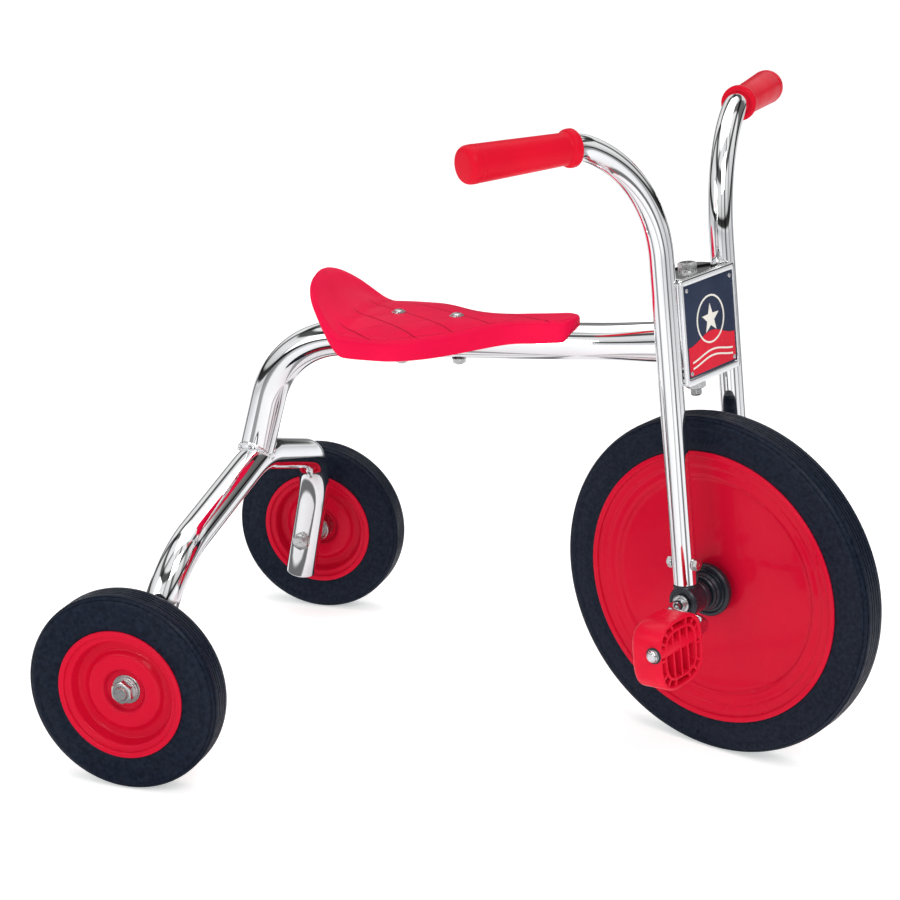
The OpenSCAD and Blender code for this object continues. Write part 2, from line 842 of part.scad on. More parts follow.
module rear_bearings_left() { rear_bearings(1); }
module rear_bearings_right() { rear_bearings(-1); }

backbone_tube();
head_tube();
head_bushes();
rear_arch_tube();
saddle();
saddle_bolts();
saddle_nuts();
rear_axle_bolt_left();
rear_axle_bolt_right();
rear_axle_spacers();
rear_axle_washers();
rear_axle_nuts();
fork_tube_left();
fork_tube_right();
head_bracket();
badge_plate();
badge_rivets();
steering_bolt();
steering_washers();
steering_nut();
grip_left();
grip_right();
crank_housing_left();
crank_housing_right();
housing_bolts();
housing_nuts();
crank_bushes();
front_tyre();
front_rim_left();
front_rim_right();
front_hub();
hub_flange_left();
hub_flange_right();
hub_drive_pin();
crank_rod();
crank_washers();
pedal_push_nuts();
pedal_left();
pedal_right();
pedal_sleeve_left();
pedal_sleeve_right();
rear_tyre_left();
rear_tyre_right();
rear_rim_outer_left();
rear_rim_outer_right();
rear_rim_inner_left();
rear_rim_inner_right();
rear_hub_left();
rear_hub_right();
rear_bearings_left();
rear_bearings_right();
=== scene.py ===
"""Looks of the children's tricycle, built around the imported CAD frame.

The frame is the CAD model's: +Z up, the front wheel at -Y and the rider's left at +X.
Shapes are worked out in millimetres, and piece() turns them into metres, as the frame,
the materials and the stage are. Sizes repeat the driving dimensions of the CAD part,
and places come from the record's joints.
"""
import json
import math

import bmesh
import bpy
from mathutils import Matrix, Vector


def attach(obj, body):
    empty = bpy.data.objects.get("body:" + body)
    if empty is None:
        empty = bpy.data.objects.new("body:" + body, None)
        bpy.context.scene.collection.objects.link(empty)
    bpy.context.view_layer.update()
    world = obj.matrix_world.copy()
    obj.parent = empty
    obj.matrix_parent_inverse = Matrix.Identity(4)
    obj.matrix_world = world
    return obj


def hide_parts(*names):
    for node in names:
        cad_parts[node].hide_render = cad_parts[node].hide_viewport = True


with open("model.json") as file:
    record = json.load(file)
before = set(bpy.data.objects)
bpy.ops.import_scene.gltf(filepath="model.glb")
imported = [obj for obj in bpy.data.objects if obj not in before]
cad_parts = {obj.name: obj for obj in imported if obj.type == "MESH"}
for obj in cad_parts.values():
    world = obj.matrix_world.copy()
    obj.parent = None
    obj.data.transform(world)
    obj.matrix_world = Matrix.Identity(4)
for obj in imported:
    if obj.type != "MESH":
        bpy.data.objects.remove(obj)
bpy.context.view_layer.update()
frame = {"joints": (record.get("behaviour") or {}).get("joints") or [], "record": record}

MM = 0.001                    # metres
joints = {j["name"]: j for j in frame["joints"]}


# ---- frames of reference
def joint_pos(name):
    return Vector(joints[name]["pos_m"]) / MM


def joint_axis(name):
    return Vector(joints[name]["axis"]).normalized()


def frame_of(x_axis, z_axis, origin):
    """A frame from its X and Z directions and its origin."""
    y_axis = z_axis.cross(x_axis)
    return Matrix((*zip(x_axis, y_axis, z_axis, origin), (0, 0, 0, 1)))


def turned(degrees, axis):
    return Matrix.Rotation(math.radians(degrees), 4, axis)


def moved(x=0.0, y=0.0, z=0.0):
    return Matrix.Translation((x, y, z))


MIRROR_X = Matrix.Diagonal((-1, 1, 1, 1))
MIRROR_Z = Matrix.Diagonal((1, 1, -1, 1))
# Turns a frame so that its Z runs along the old X
ALONG_X = turned(90, "Y")


def on_side(side):
    """side is 1 for the rider's left and -1 for the right."""
    return Matrix.Identity(4) if side > 0 else MIRROR_X


SIDES = (("left", 1), ("right", -1))
AXLE_LEAD = 9                 # front axle ahead of the steering axis
CRANK_ANGLE = 5               # right crank below forward, degrees
CRANK_THROW = 42
ROD_R, ROD_BORE_R = 5, 5.05   # the crank rod, and the bores that turn on it
WHEELBASE = 461

steer_axis = joint_axis("steering")
wheel_axis = joint_axis("front_wheel_spin")
fork_origin = (joint_pos("front_wheel_spin")
               + steer_axis.cross(wheel_axis).normalized() * AXLE_LEAD)
FORK = frame_of(wheel_axis, steer_axis, fork_origin)
HEAD = frame_of(Vector((1, 0, 0)), steer_axis, fork_origin)
FRONT_AXLE = FORK @ moved(y=-AXLE_LEAD)
CRANK = FRONT_AXLE @ turned(CRANK_ANGLE, "X")
REAR = {side: moved(*joint_pos(f"{name}_rear_wheel_spin")) @ on_side(side)
        for name, side in SIDES}
# The CAD part measures places along Y from the front axle, steered straight
FROM_AXLE = moved(y=joint_pos("left_rear_wheel_spin").y - WHEELBASE)


def at_front_axle(side):
    """Z runs outward along the axle."""
    return FRONT_AXLE @ on_side(side) @ ALONG_X


def on_pedal(side):
    return (CRANK @ moved(y=side * CRANK_THROW) @ turned(-CRANK_ANGLE, "X")
            @ on_side(side))


# ---- mesh tools
def tan(a):
    return math.tan(math.radians(a))


def cos(a):
    return math.cos(math.radians(a))


def sin(a):
    return math.sin(math.radians(a))


def circle(count):
    """Places round a circle, as (cosine, sine)."""
    turns = [2 * math.pi * k / count for k in range(count)]
    return [(math.cos(a), math.sin(a)) for a in turns]


class Shape:
    """Vertices and faces gathered for one piece."""

    def __init__(self, part=((), ()), at=Matrix.Identity(4)):
        self.verts, self.faces = [], []
        self.add(part, at)

    def add(self, part, at=Matrix.Identity(4)):
        verts, faces = part
        base = len(self.verts)
        self.verts += [at @ Vector(v) for v in verts]
        self.faces += [[base + i for i in f] for f in faces]


def fillet(points, radius, steps=4):
    """The closed outline with each corner rounded. radius is one number, or one for
    each point."""
    n = len(points)
    radii = radius if isinstance(radius, (list, tuple)) else [radius] * n
    out = []
    for i, p in enumerate(points):
        p = Vector(p)
        if radii[i] <= 0:
            out.append(tuple(p))
            continue
        before, after = Vector(points[i - 1]) - p, Vector(points[(i + 1) % n]) - p
        reach = min(radii[i], before.length * 0.48, after.length * 0.48)
        a, b = p + before.normalized() * reach, p + after.normalized() * reach
        for k in range(steps + 1):
            t = k / steps
            out.append(tuple(a * (1 - t) ** 2 + p * (2 * t * (1 - t)) + b * t ** 2))
    return out


def loft(loops, ends=True, ring=False):
    """Skin over loops that have the same number of points. ends closes the first and the
    last loop, and ring joins them instead."""
    verts = [p for loop in loops for p in loop]
    n, last = len(loops[0]), len(loops) - 1
    faces = []
    for a in range(len(loops) if ring else last):
        b = (a + 1) % len(loops)
        for i in range(n):
            j = (i + 1) % n
            faces.append([a * n + i, a * n + j, b * n + j, b * n + i])
    if ends and not ring:
        faces += [list(range(n))[::-1], [last * n + i for i in range(n)]]
    return verts, faces


def lathe(outline, sides=96):
    """A closed outline of (radius, along) points turned round Z."""
    return loft([[(r * c, r * s, z) for r, z in outline] for c, s in circle(sides)],
                ring=True)


def walk(moves, start=Matrix.Identity(4), arc_step=3.0, run_step=30.0):
    """Frames along a path: ("run", length) goes along +Z, and ("bend", radius, degrees)
    turns from +Z towards +X."""
    out = [start.copy()]
    for kind, *sizes in moves:
        if kind == "run":
            length, = sizes
            count = max(1, math.ceil(length / run_step))
            steps = [moved(z=length * k / count) for k in range(1, count + 1)]
        else:
            radius, angle = sizes
            count = max(2, math.ceil(abs(angle) / arc_step))
            steps = [moved(x=radius) @ turned(angle * k / count, "Y") @ moved(x=-radius)
                     for k in range(1, count + 1)]
        base = out[-1]
        out += [base @ step for step in steps]
    return out


def tube(frames, radius, sides=48, wall=None, shape=None, end_round=0.0):
    """A tube along frames, solid or with a wall. shape(i) gives the scale across X and Y
    at frame i."""
    def loop(i, r=radius, past=0.0):
        sx, sy = shape(i) if shape else (1, 1)
        return [frames[i] @ Vector((r * sx * c, r * sy * s, past)) for c, s in circle(sides)]

    last = len(frames) - 1
    outer = [loop(i) for i in range(last + 1)]
    if wall is None:
        turns = range(18, 91, 18) if end_round else ()
        rims = [(radius - end_round * (1 - cos(a)), end_round * sin(a)) for a in turns]
        return loft([loop(0, r, -past) for r, past in rims[::-1]] + outer
                    + [loop(last, r, past) for r, past in rims])
    lip = wall * 0.3
    rims = [(radius - lip, lip), (radius - wall + lip, lip)]
    return loft(outer + [loop(last, r, past) for r, past in rims]
                + [loop(i, radius - wall) for i in range(last, -1, -1)]
                + [loop(0, r, -past) for r, past in rims[::-1]], ring=True)


def bead(points, radius, sides=10):
    """A closed ring of round section through points, slightly uneven as a weld is."""
    n, loops = len(points), []
    for i, p in enumerate(points):
        along = (points[(i + 1) % n] - points[i - 1]).normalized()
        side = (side - along * side.dot(along) if i else along.orthogonal()).normalized()
        other = along.cross(side)
        r = radius * (1 + 0.14 * math.sin(i * 2 * math.pi * 22 / n))
        loops.append([p + side * (r * c) + other * (r * s) for c, s in circle(sides)])
    return loft(loops, ring=True)


def hex_nut(height, across, bore, base_chamfer=False, sides=72):
    """A hexagonal nut from z = 0 to height with its corners chamfered."""
    apothem = across / 2
    face_r, lip, slope = apothem * 0.96, apothem * 0.05, tan(30)
    # distance to the hexagon's side at each place
    reaches = [apothem / cos(360 * k / sides % 60 - 30) for k in range(sides)]

    def round_loop(r, z):
        return [(r * c, r * s, z) for c, s in circle(sides)]

    def hex_loop(z, rise):
        return [(r * c, r * s, z + (r - face_r) * rise)
                for r, (c, s) in zip(reaches, circle(sides))]

    base = [round_loop(face_r, 0), hex_loop(0, slope)] if base_chamfer else [hex_loop(0, 0)]
    return loft(base + [hex_loop(height, -slope), round_loop(face_r, height),
                        round_loop(bore + lip, height), round_loop(bore, height - lip),
                        round_loop(bore, 0)], ring=True)


def threaded_end(length, radius, pitch=1.25, depth=0.35, sides=40):
    """A bolt's free end from z = 0, with thread rings and a chamfered tip."""
    outline = [(0, 0), (radius, 0)]
    z = pitch
    while z < length - pitch:
        outline += [(radius, z - pitch * 0.35), (radius - depth, z),
                    (radius, z + pitch * 0.1)]
        z += pitch
    outline += [(radius - depth, length - 0.4 * pitch), (radius - 2 * depth, length),
                (0, length)]
    return lathe(outline, sides)


def shank(z_low, z_high, radius, sides=40):
    return lathe([(0, z_low), (radius, z_low), (radius, z_high), (0, z_high)], sides)


def washer(z_low, z_high, outer_r, inner_r, edge=0.3, sides=64, steps=2):
    """A ring with rounded edges."""
    return lathe(fillet([(inner_r, z_low), (outer_r, z_low), (outer_r, z_high),
                         (inner_r, z_high)], edge, steps), sides)


def box(size, edge, steps=2):
    """A box round the origin with rounded edges."""
    bm = bmesh.new()
    bmesh.ops.create_cube(bm, size=1.0)
    bmesh.ops.scale(bm, vec=size, verts=bm.verts)
    bmesh.ops.bevel(bm, geom=list(bm.edges), offset=edge, segments=steps,
                    profile=0.5, affect="EDGES")
    part = ([tuple(v.co) for v in bm.verts],
            [[v.index for v in f.verts] for f in bm.faces])
    bm.free()
    return part


def prism(outline, z_low, z_high, edge=0.0):
    """An outline of (x, y) points raised from z_low to z_high. With an edge radius, the
    outline runs anticlockwise."""
    corners = [Vector(p) for p in outline]

    def inset(amount, z):
        out = []
        for i, p in enumerate(corners):
            before = (p - corners[i - 1]).normalized()
            after = (corners[(i + 1) % len(corners)] - p).normalized()
            square = Vector((-before.y, before.x))
            normal = Vector((-(before.y + after.y), before.x + after.x))
            normal = normal.normalized() if normal.length > 1e-9 else square
            out.append((*(p + normal * (amount / max(0.5, normal.dot(square)))), z))
        return out

    rims = [(0, 0)]
    if edge:
        rims = [(edge * (1 - sin(a)), edge * (1 - cos(a))) for a in (0, 30, 60, 90)]
    return loft([inset(amount, z_low + rise) for amount, rise in rims]
                + [inset(amount, z_high - rise) for amount, rise in rims[::-1]])


def rounded_rectangle(width, height, radius):
    w, h = width / 2, height / 2
    return fillet([(w, -h), (w, h), (-w, h), (-w, -h)], radius, 6)


# ---- materials
class Graph:
    """Short ways to add nodes to a material or a world and to join them."""

    def __init__(self, owner):
        owner.use_nodes = True
        self.nodes, self.links = owner.node_tree.nodes, owner.node_tree.links

    def feed(self, socket, value):
        """Joins a socket to a node's output, or sets the socket's own value."""
        if isinstance(value, bpy.types.NodeSocket):
            self.links.new(value, socket)
        else:
            socket.default_value = value

    def add(self, kind, inputs, output, **settings):
        node = self.nodes.new("ShaderNode" + kind)
        for name, value in settings.items():
            setattr(node, name, value)
        for name, value in inputs.items():
            self.feed(node.inputs[name], value)
        return node.outputs[output]

    def place(self, kind="Object"):
        return self.add("TexCoord", {}, kind)

    def split(self, vector):
        """The X, Y and Z outputs of a vector."""
        return self.add("SeparateXYZ", {"Vector": vector}, "X").node.outputs

    def spread(self, value, from_low, from_high, low=0.0, high=1.0, **settings):
        return self.add("MapRange", {"Value": value, "From Min": from_low, "From Max": from_high,
                                     "To Min": low, "To Max": high}, "Result", **settings)

    def math(self, operation, a, b):
        return self.add("Math", {0: a, 1: b}, "Value", operation=operation)

    def mix(self, factor, a, b, **settings):
        return self.add("Mix", {"Factor": factor, "A": a, "B": b}, "Result",
                        data_type="RGBA", **settings)


def material(name, colour, roughness, metallic=0.0, specular=0.5,
             coat=(0.0, 0.05), tint=(0.06, 30), wear=(0.06, 90), grain=(0.1, 1500, 0.05)):
    """A procedural material. tint and wear are the amount and
    the scale by which its colour and roughness vary, grain is the strength, scale and
    depth in millimetres of its bumps, and coat is a clear coat's weight and roughness."""
    mat = bpy.data.materials.new(name)
    graph = Graph(mat)
    shader = graph.nodes["Principled BSDF"].inputs
    for socket, value in (("Metallic", metallic), ("Specular IOR Level", specular),
                          ("Coat Weight", coat[0]), ("Coat Roughness", coat[1])):
        shader[socket].default_value = value
    place = graph.place()

    def noise(scale, detail):
        return graph.add("TexNoise", {"Scale": scale, "Detail": detail, "Vector": place}, "Fac")

    amount, scale = tint
    deep = [c * (1 - amount) for c in colour]
    pale = [min(1, c * (1 + amount) + amount * 0.02) for c in colour]
    patches = graph.spread(noise(scale, 4.0), 0.3, 0.7)
    graph.feed(shader["Base Color"], graph.mix(patches, (*deep, 1), (*pale, 1)))
    amount, scale = wear
    graph.feed(shader["Roughness"], graph.spread(
        noise(scale, 6.0), 0.3, 0.7, max(0.02, roughness - amount), roughness + amount))
    strength, scale, depth = grain
    graph.feed(shader["Normal"], graph.add(
        "Bump", {"Strength": strength, "Distance": depth * MM, "Height": noise(scale, 3.0)},
        "Normal"))
    return mat


CHROME = material(
    "chrome_plate", (0.90, 0.905, 0.915), 0.045, metallic=1.0, tint=(0.02, 30),
    wear=(0.02, 60), grain=(0.05, 700, 0.02))
ZINC = material(
    "zinc_plate", (0.60, 0.60, 0.60), 0.24, metallic=1.0, tint=(0.08, 220),
    wear=(0.1, 500), grain=(0.25, 1800, 0.03))
STEEL_ROD = material(
    "plated_rod", (0.72, 0.72, 0.74), 0.12, metallic=1.0, tint=(0.04, 30),
    wear=(0.06, 260), grain=(0.15, 1500, 0.02))
BEARING = material(
    "ground_steel", (0.50, 0.50, 0.49), 0.3, metallic=1.0, wear=(0.08, 90),
    grain=(0.2, 1500, 0.05))
SADDLE_RED = material(
    "red_saddle_moulding", (0.78, 0.004, 0.055), 0.42, specular=0.05,
    tint=(0.06, 18), wear=(0.06, 45), grain=(0.3, 900, 0.09))
RED_VINYL = material(
    "red_vinyl", (0.66, 0.004, 0.022), 0.34, specular=0.08, tint=(0.06, 24),
    wear=(0.06, 60), grain=(0.3, 700, 0.07))
RED_GLOSSY = material(
    "red_pedal_moulding", (0.70, 0.005, 0.030), 0.25, specular=0.12,
    tint=(0.05, 40), wear=(0.06, 80), grain=(0.2, 600, 0.06))
RED_ENAMEL = material(
    "red_enamel_paint", (0.58, 0.004, 0.027), 0.28, specular=0.04,
    coat=(0.16, 0.06), tint=(0.05, 14), wear=(0.05, 30), grain=(0.1, 260, 0.05))
RUBBER = material(
    "tyre_rubber", (0.003, 0.0075, 0.019), 0.36, specular=0.13, tint=(0.3, 300),
    wear=(0.09, 120), grain=(0.8, 1300, 0.16))
BLACK_PLASTIC = material(
    "black_moulding", (0.012, 0.016, 0.024), 0.22, specular=0.45,
    tint=(0.15, 90), wear=(0.08, 160), grain=(0.4, 1100, 0.06))
NAVY = material(
    "badge_navy", (0.022, 0.032, 0.066), 0.25, specular=0.08, coat=(0.08, 0.05),
    tint=(0.1, 30), wear=(0.05, 90))
BADGE_RED = material(
    "badge_red", (0.66, 0.008, 0.03), 0.25, specular=0.08, coat=(0.08, 0.05),
    wear=(0.05, 90))
CREAM = material(
    "badge_cream", (0.80, 0.77, 0.70), 0.3, specular=0.2, tint=(0.03, 30),
    wear=(0.05, 90))


def score(mat, spacing, half_width, depth, painted_groove_shade):
    """Scores two crossing sets of lines into a material's upward faces, the second set
    fainter. The sizes are in metres, and the last argument is a colour multiplied into the
    lines, a painted shade in the grooves."""
    graph = Graph(mat)
    shader = graph.nodes["Principled BSDF"].inputs
    place = graph.place()
    grooves = []
    for across, strength in ((0.819, 1.0), (-0.819, 0.4)):
        dot = graph.add("VectorMath", {0: place, 1: (across, -0.574, 0)}, "Value",
                        operation="DOT_PRODUCT")
        # the offset keeps the value above zero everywhere
        off_line = graph.math("PINGPONG", graph.math("ADD", dot, 10.0), spacing / 2)
        grooves.append(graph.spread(off_line, 0, half_width, strength, 0,
                                    interpolation_type="SMOOTHSTEP"))
    normal = graph.split(graph.add("NewGeometry", {}, "Normal"))
    upward = graph.spread(normal["Z"], 0.86, 0.97)
    groove = graph.math("MULTIPLY", graph.math("MAXIMUM", *grooves), upward)
    grain = shader["Normal"].links[0].from_socket
    graph.feed(shader["Normal"], graph.add(
        "Bump", {"Distance": -depth, "Height": groove, "Normal": grain}, "Normal"))
    colour = shader["Base Color"].links[0].from_socket
    # painted shade: the colour is darkened in the scored lines, where shade falls in the grooves
    graph.feed(shader["Base Color"], graph.mix(groove, colour, painted_groove_shade, blend_type="MULTIPLY"))


# the saddle's scored lines, with a painted shade darkening their colour
score(SADDLE_RED, 32 * MM, 0.9 * MM, 0.8 * MM, (0.62, 0.5, 0.5, 1))


# ---- pieces
# the smallest angle between faces that stays sharp, in degrees
SHARP, SHARP_MOULDED, SHARP_WELD = 32, 50, 69
body_of = {node: body for body, nodes in frame["record"]["behaviour"]["bodies"].items()
           for node in nodes}


def piece(name, shape, mat, *nodes, body=None, sharp=SHARP):
    """Makes a piece from a Shape in millimetres, smooth apart from its sharp edges. It
    stands for the CAD nodes and rides on their body, or on the body that is given."""
    mesh = bpy.data.meshes.new(name)
    mesh.from_pydata([v * MM for v in shape.verts], [], shape.faces)
    bm = bmesh.new()
    bm.from_mesh(mesh)
    bmesh.ops.remove_doubles(bm, verts=bm.verts, dist=2e-6)
    bmesh.ops.dissolve_degenerate(bm, dist=1e-6, edges=bm.edges)
    bmesh.ops.recalc_face_normals(bm, faces=bm.faces)
    for f in bm.faces:
        f.smooth = True
    for e in bm.edges:
        if len(e.link_faces) == 2 and e.calc_face_angle(0) > math.radians(sharp):
            e.smooth = False
    bm.to_mesh(mesh)
    bm.free()
    mesh.materials.append(mat)
    obj = bpy.data.objects.new(name, mesh)
    bpy.context.scene.collection.objects.link(obj)
    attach(obj, body or body_of[nodes[0]])
    if nodes:
        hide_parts(*nodes)


# ---- frame tubes
BACKBONE_R, BACKBONE_SLOPE = 15.9, 3.06
BACKBONE_Y, BACKBONE_Z = 66, 361.6
CORNER_Y = 403.3
BEND_R = 81
LEG_LEAN = 15.2
APEX_Y, APEX_Z = 431.3, 231.9
SQUEEZE_LEN = 75              # the backbone is squeezed upright over this length
SQUEEZE_UP, SQUEEZE_IN = 0.135, 0.16
HEAD_Y, HEAD_R = 30, 15.5
HEAD_LOW, HEAD_HIGH = 192.8, 266.7
HEAD_BORE_R, BUSH_BORE_R = 12, 4.85
ARCH_R, ARCH_LEAN, ARCH_DROP = 15, 12, 189
ARM_SLOPE, LEG_SPLAY = 17, 3
ARCH_BEND_R, APEX_BEND_R = 77, 90
ELBOW_X = 176.7


def smooth_step(t):
    t = min(max(t, 0.0), 1.0)
    return t * t * (3 - 2 * t)


def weld(at, half_x, half_y, radius, height):
    """A bead round an oval foot. height(x, y) says where it lies along Z."""
    foot = [(half_x * c, half_y * s) for c, s in circle(132)]
    return Shape(bead([at @ Vector((x, y, height(x, y))) for x, y in foot], radius))


def circle_height(radius, offset):
    return math.sqrt(max(0.0, radius ** 2 - offset ** 2))


def build_backbone():
    corner_z = BACKBONE_Z - (CORNER_Y - BACKBONE_Y) * tan(BACKBONE_SLOPE)
    bend_angle = 90 - BACKBONE_SLOPE - LEG_LEAN
    bend_run = BEND_R * tan(bend_angle / 2)
    start_z = BACKBONE_Z + (BACKBONE_Y - HEAD_Y) * tan(BACKBONE_SLOPE)
    front_run = (CORNER_Y - HEAD_Y) / cos(BACKBONE_SLOPE) - bend_run
    leg_run = (corner_z - APEX_Z) / cos(LEG_LEAN) - bend_run
    start = (FROM_AXLE @ moved(y=HEAD_Y, z=start_z) @ turned(180, "Z")
             @ turned(90 + BACKBONE_SLOPE, "X") @ turned(-90, "Z"))
    front_gap, foot_gap, step = 8, 6, 10
    frames = walk([("run", front_run - front_gap), ("bend", BEND_R, bend_angle),
                   ("run", leg_run - foot_gap)], start @ moved(z=front_gap), run_step=step)

    def section(i):
        ease = smooth_step(1 - i * step / SQUEEZE_LEN)
        return 1 + SQUEEZE_UP * ease, 1 - SQUEEZE_IN * ease

    shape = Shape(tube(frames, BACKBONE_R, 56, shape=section))
    piece("backbone", shape, CHROME, "backbone_tube")

    def on_arch(x, y):
        return -(circle_height(ARCH_R, x) - y * y / (2 * APEX_BEND_R)) * 0.98

    def on_head(x, y):
        return circle_height(HEAD_R, y) + 0.4

    foot = weld(frames[-1] @ moved(z=foot_gap), BACKBONE_R, BACKBONE_R, 1.7, on_arch)
    piece("weld_arch", foot, CHROME, body="frame", sharp=SHARP_WELD)
    front = weld(start, BACKBONE_R * 1.13, BACKBONE_R * 0.85, 1.5, on_head)
    piece("weld_head", front, CHROME, body="frame", sharp=SHARP_WELD)


def build_head():
    shape = Shape(washer(HEAD_LOW, HEAD_HIGH, HEAD_R, HEAD_BORE_R, 0.8, 72, 4), HEAD)
    piece("head_sleeve", shape, CHROME, "head_tube")
    bushes = Shape()
    profile = [(BUSH_BORE_R, -3), (15, -3), (15, 0), (HEAD_BORE_R, 0), (HEAD_BORE_R, 14),
               (BUSH_BORE_R, 14)]
    for at in (HEAD @ moved(z=HEAD_LOW), HEAD @ moved(z=HEAD_HIGH) @ MIRROR_Z):
        bushes.add(lathe(fillet(profile, 0.5), 64), at)
    piece("head_bushings", bushes, BLACK_PLASTIC, "head_bushes")


def build_arch():
    sink = APEX_BEND_R * (1 / cos(ARM_SLOPE) - 1)
    elbow_angle = 90 - ARM_SLOPE - LEG_SPLAY
    elbow_run = ARCH_BEND_R * tan(elbow_angle / 2)
    arm_run = ELBOW_X / cos(ARM_SLOPE) - elbow_run - APEX_BEND_R * tan(ARM_SLOPE)
    leg_run = (ARCH_DROP - ELBOW_X * tan(ARM_SLOPE)) / cos(LEG_SPLAY) - elbow_run
    plane = FROM_AXLE @ moved(y=APEX_Y, z=APEX_Z) @ turned(ARCH_LEAN, "X") @ moved(z=-sink)
    end_round = 2
    half = walk([("bend", APEX_BEND_R, ARM_SLOPE), ("run", arm_run),
                 ("bend", ARCH_BEND_R, elbow_angle), ("run", leg_run - end_round)],
                plane @ ALONG_X, run_step=20)
    # the same path on the other side, walked backwards
    other = [plane @ MIRROR_X @ plane.inverted() @ m @ MIRROR_X @ turned(180, "Y")
             for m in half[:0:-1]]
    shape = Shape(tube(other + half, ARCH_R, 56, end_round=end_round))
    piece("rear_arch", shape, CHROME, "rear_arch_tube")


build_backbone()
build_head()
build_arch()

# ---- saddle
SADDLE_W, NOSE_W = 157, 39
NOSE_Y, NOSE_ROUND = 128, 14
FLARE_FROM, FLARE_TO = 183, 281.5
BACK_FROM, BACK_Y = 297, 364
RISE_FROM, BACK_RISE, NOSE_RISE = 318, 36, 6.9
SEAT_Z, SADDLE_T = 373.4, 4.5
RIM_R = 2.2
BEAD_H, BEAD_IN, BEAD_W = 0.9, 6, 2.2
SCOOP = 2.5                   # hollow of the back
INNER_FROM = 8.5              # where the rings near the edge end and the wide ones start
BOLT_Y = (238, 291.5)


def saddle_half_w(y):
    flare = smooth_step((y - FLARE_FROM) / (FLARE_TO - FLARE_FROM))
    body = (NOSE_W + (SADDLE_W - NOSE_W) * flare) / 2
    tip = circle_height(1, max(0.0, (NOSE_Y + NOSE_ROUND - y) / NOSE_ROUND))
    t = max(0.0, (y - BACK_FROM) / (BACK_Y - BACK_FROM))
    return body * tip * max(0.0, 1 - t * t) ** 0.36


def saddle_mid_z(y):
    """Height of the saddle's top along its middle."""
    return (SEAT_Z + NOSE_RISE * (max(0.0, 260 - y) / 132) ** 2
            + BACK_RISE * (max(0.0, y - RISE_FROM) / (BACK_Y - RISE_FROM)) ** 1.68)


def saddle_z(x, y):
    """Height of the crowned top. The edge lies lowest beside the seat's broad part."""
    seat = smooth_step((y - 170) / 80)
    back = smooth_step((y - RISE_FROM) / 33)
    drop = (9.6 * seat + 1.4 * (1 - seat)) * (1 - back) + 2.8 * back
    across = min(1.0, abs(x) / max(saddle_half_w(y), 1))
    return saddle_mid_z(y) - drop * across ** 2.8


def saddle_skirt(y):
    """Depth of the skirt below the edge: shallow round the back and at the nose's tip."""
    return (17 - 2.6 * smooth_step((y - 190) / 60) - 10 * smooth_step((y - 314) / 34)
            - 11 * (1 - smooth_step((y - NOSE_Y) / 10)))


def build_saddle():
    count = 220
    outline = []
    # from the nose round to the back, with closer steps towards both round ends
    for k, (c, _) in enumerate(circle(count)):
        y = NOSE_Y + (BACK_Y - NOSE_Y) * (1 - c) / 2
        outline.append(Vector((saddle_half_w(y) * (1 if k <= count // 2 else -1), y)))
    outline[0].x = outline[count // 2].x = 0.0
    # each point with its way in, towards the spine
    ways = [(p, Vector((0.0, min(max(p.y, NOSE_Y + 22), BACK_Y - 62))) - p) for p in outline]

    def top_z(p, depth):
        """Height of the top at a point that is depth in from the edge."""
        roll = RIM_R - circle_height(RIM_R, max(0.0, RIM_R - depth))
        raised = BEAD_H * math.exp(-((depth - BEAD_IN) / BEAD_W) ** 2)
        scoop = SCOOP * smooth_step((p.y - 312) / 30) * smooth_step((depth - 4) / 16)
        return saddle_z(p.x, p.y) - roll + raised - scoop

    def edge_ring(amount, depth, drop=0.0):
        """The outline moved in by amount, drop below the top at that depth."""
        points = [p + way * min(1.0, amount / way.length) for p, way in ways]
        return [Vector((q.x, q.y, top_z(q, depth) - drop)) for q in points]

    def wide_ring(share, drop=0.0):
        """The outline moved in by a share of the way from INNER_FROM to the spine."""
        ring = []
        for p, way in ways:
            first = min(INNER_FROM / way.length, 0.5)
            q = p + way * (first + (1 - first) * share)
            ring.append(Vector((q.x, q.y, top_z(q, (p - q).length) - drop)))
        return ring

    def skirt_ring(inset, share, extra=0.0):
        """The outline moved in by inset, at a share of the skirt's depth."""
        ring = []
        for p, way in ways:
            q = p + way.normalized() * inset
            down = RIM_R + (saddle_skirt(p.y) - RIM_R) * share + extra
            ring.append(Vector((q.x, q.y, saddle_z(p.x, p.y) - down)))
        return ring

    shares = [0.04, 0.1, 0.18, 0.27, 0.37, 0.47, 0.57, 0.67, 0.77, 0.86, 0.94, 1.0]
    flat = 99                 # a depth past the rolled rim and the bead
    # from the spine out under the top, down inside the skirt, up outside it and back
    rings = [wide_ring(s, SADDLE_T) for s in shares[::-1]]
    rings.append(edge_ring(SADDLE_T + 3, flat, SADDLE_T))
    rings.append(edge_ring(SADDLE_T + 0.6, flat, SADDLE_T + 1.2))
    rings += [skirt_ring(SADDLE_T * inset, share, extra) for inset, share, extra in (
        (1, 0.3, 0), (1, 0.97, 0), (0.85, 1, 0.5), (0.5, 1, 0.9), (0.15, 1, 0.5),
        (0, 0.95, 0), (0, 0.75, 0), (0, 0.5, 0), (0, 0.25, 0), (0, 0.08, 0))]
    rings += [edge_ring(d, d) for d in (0.0, 0.25, 0.9, 1.9, 3.2, 4.6, 6.2, INNER_FROM)]
    rings += [wide_ring(s) for s in shares]
    shape = Shape(loft(rings, ends=False), FROM_AXLE)
    piece("saddle_shell", shape, SADDLE_RED, "saddle", sharp=60)


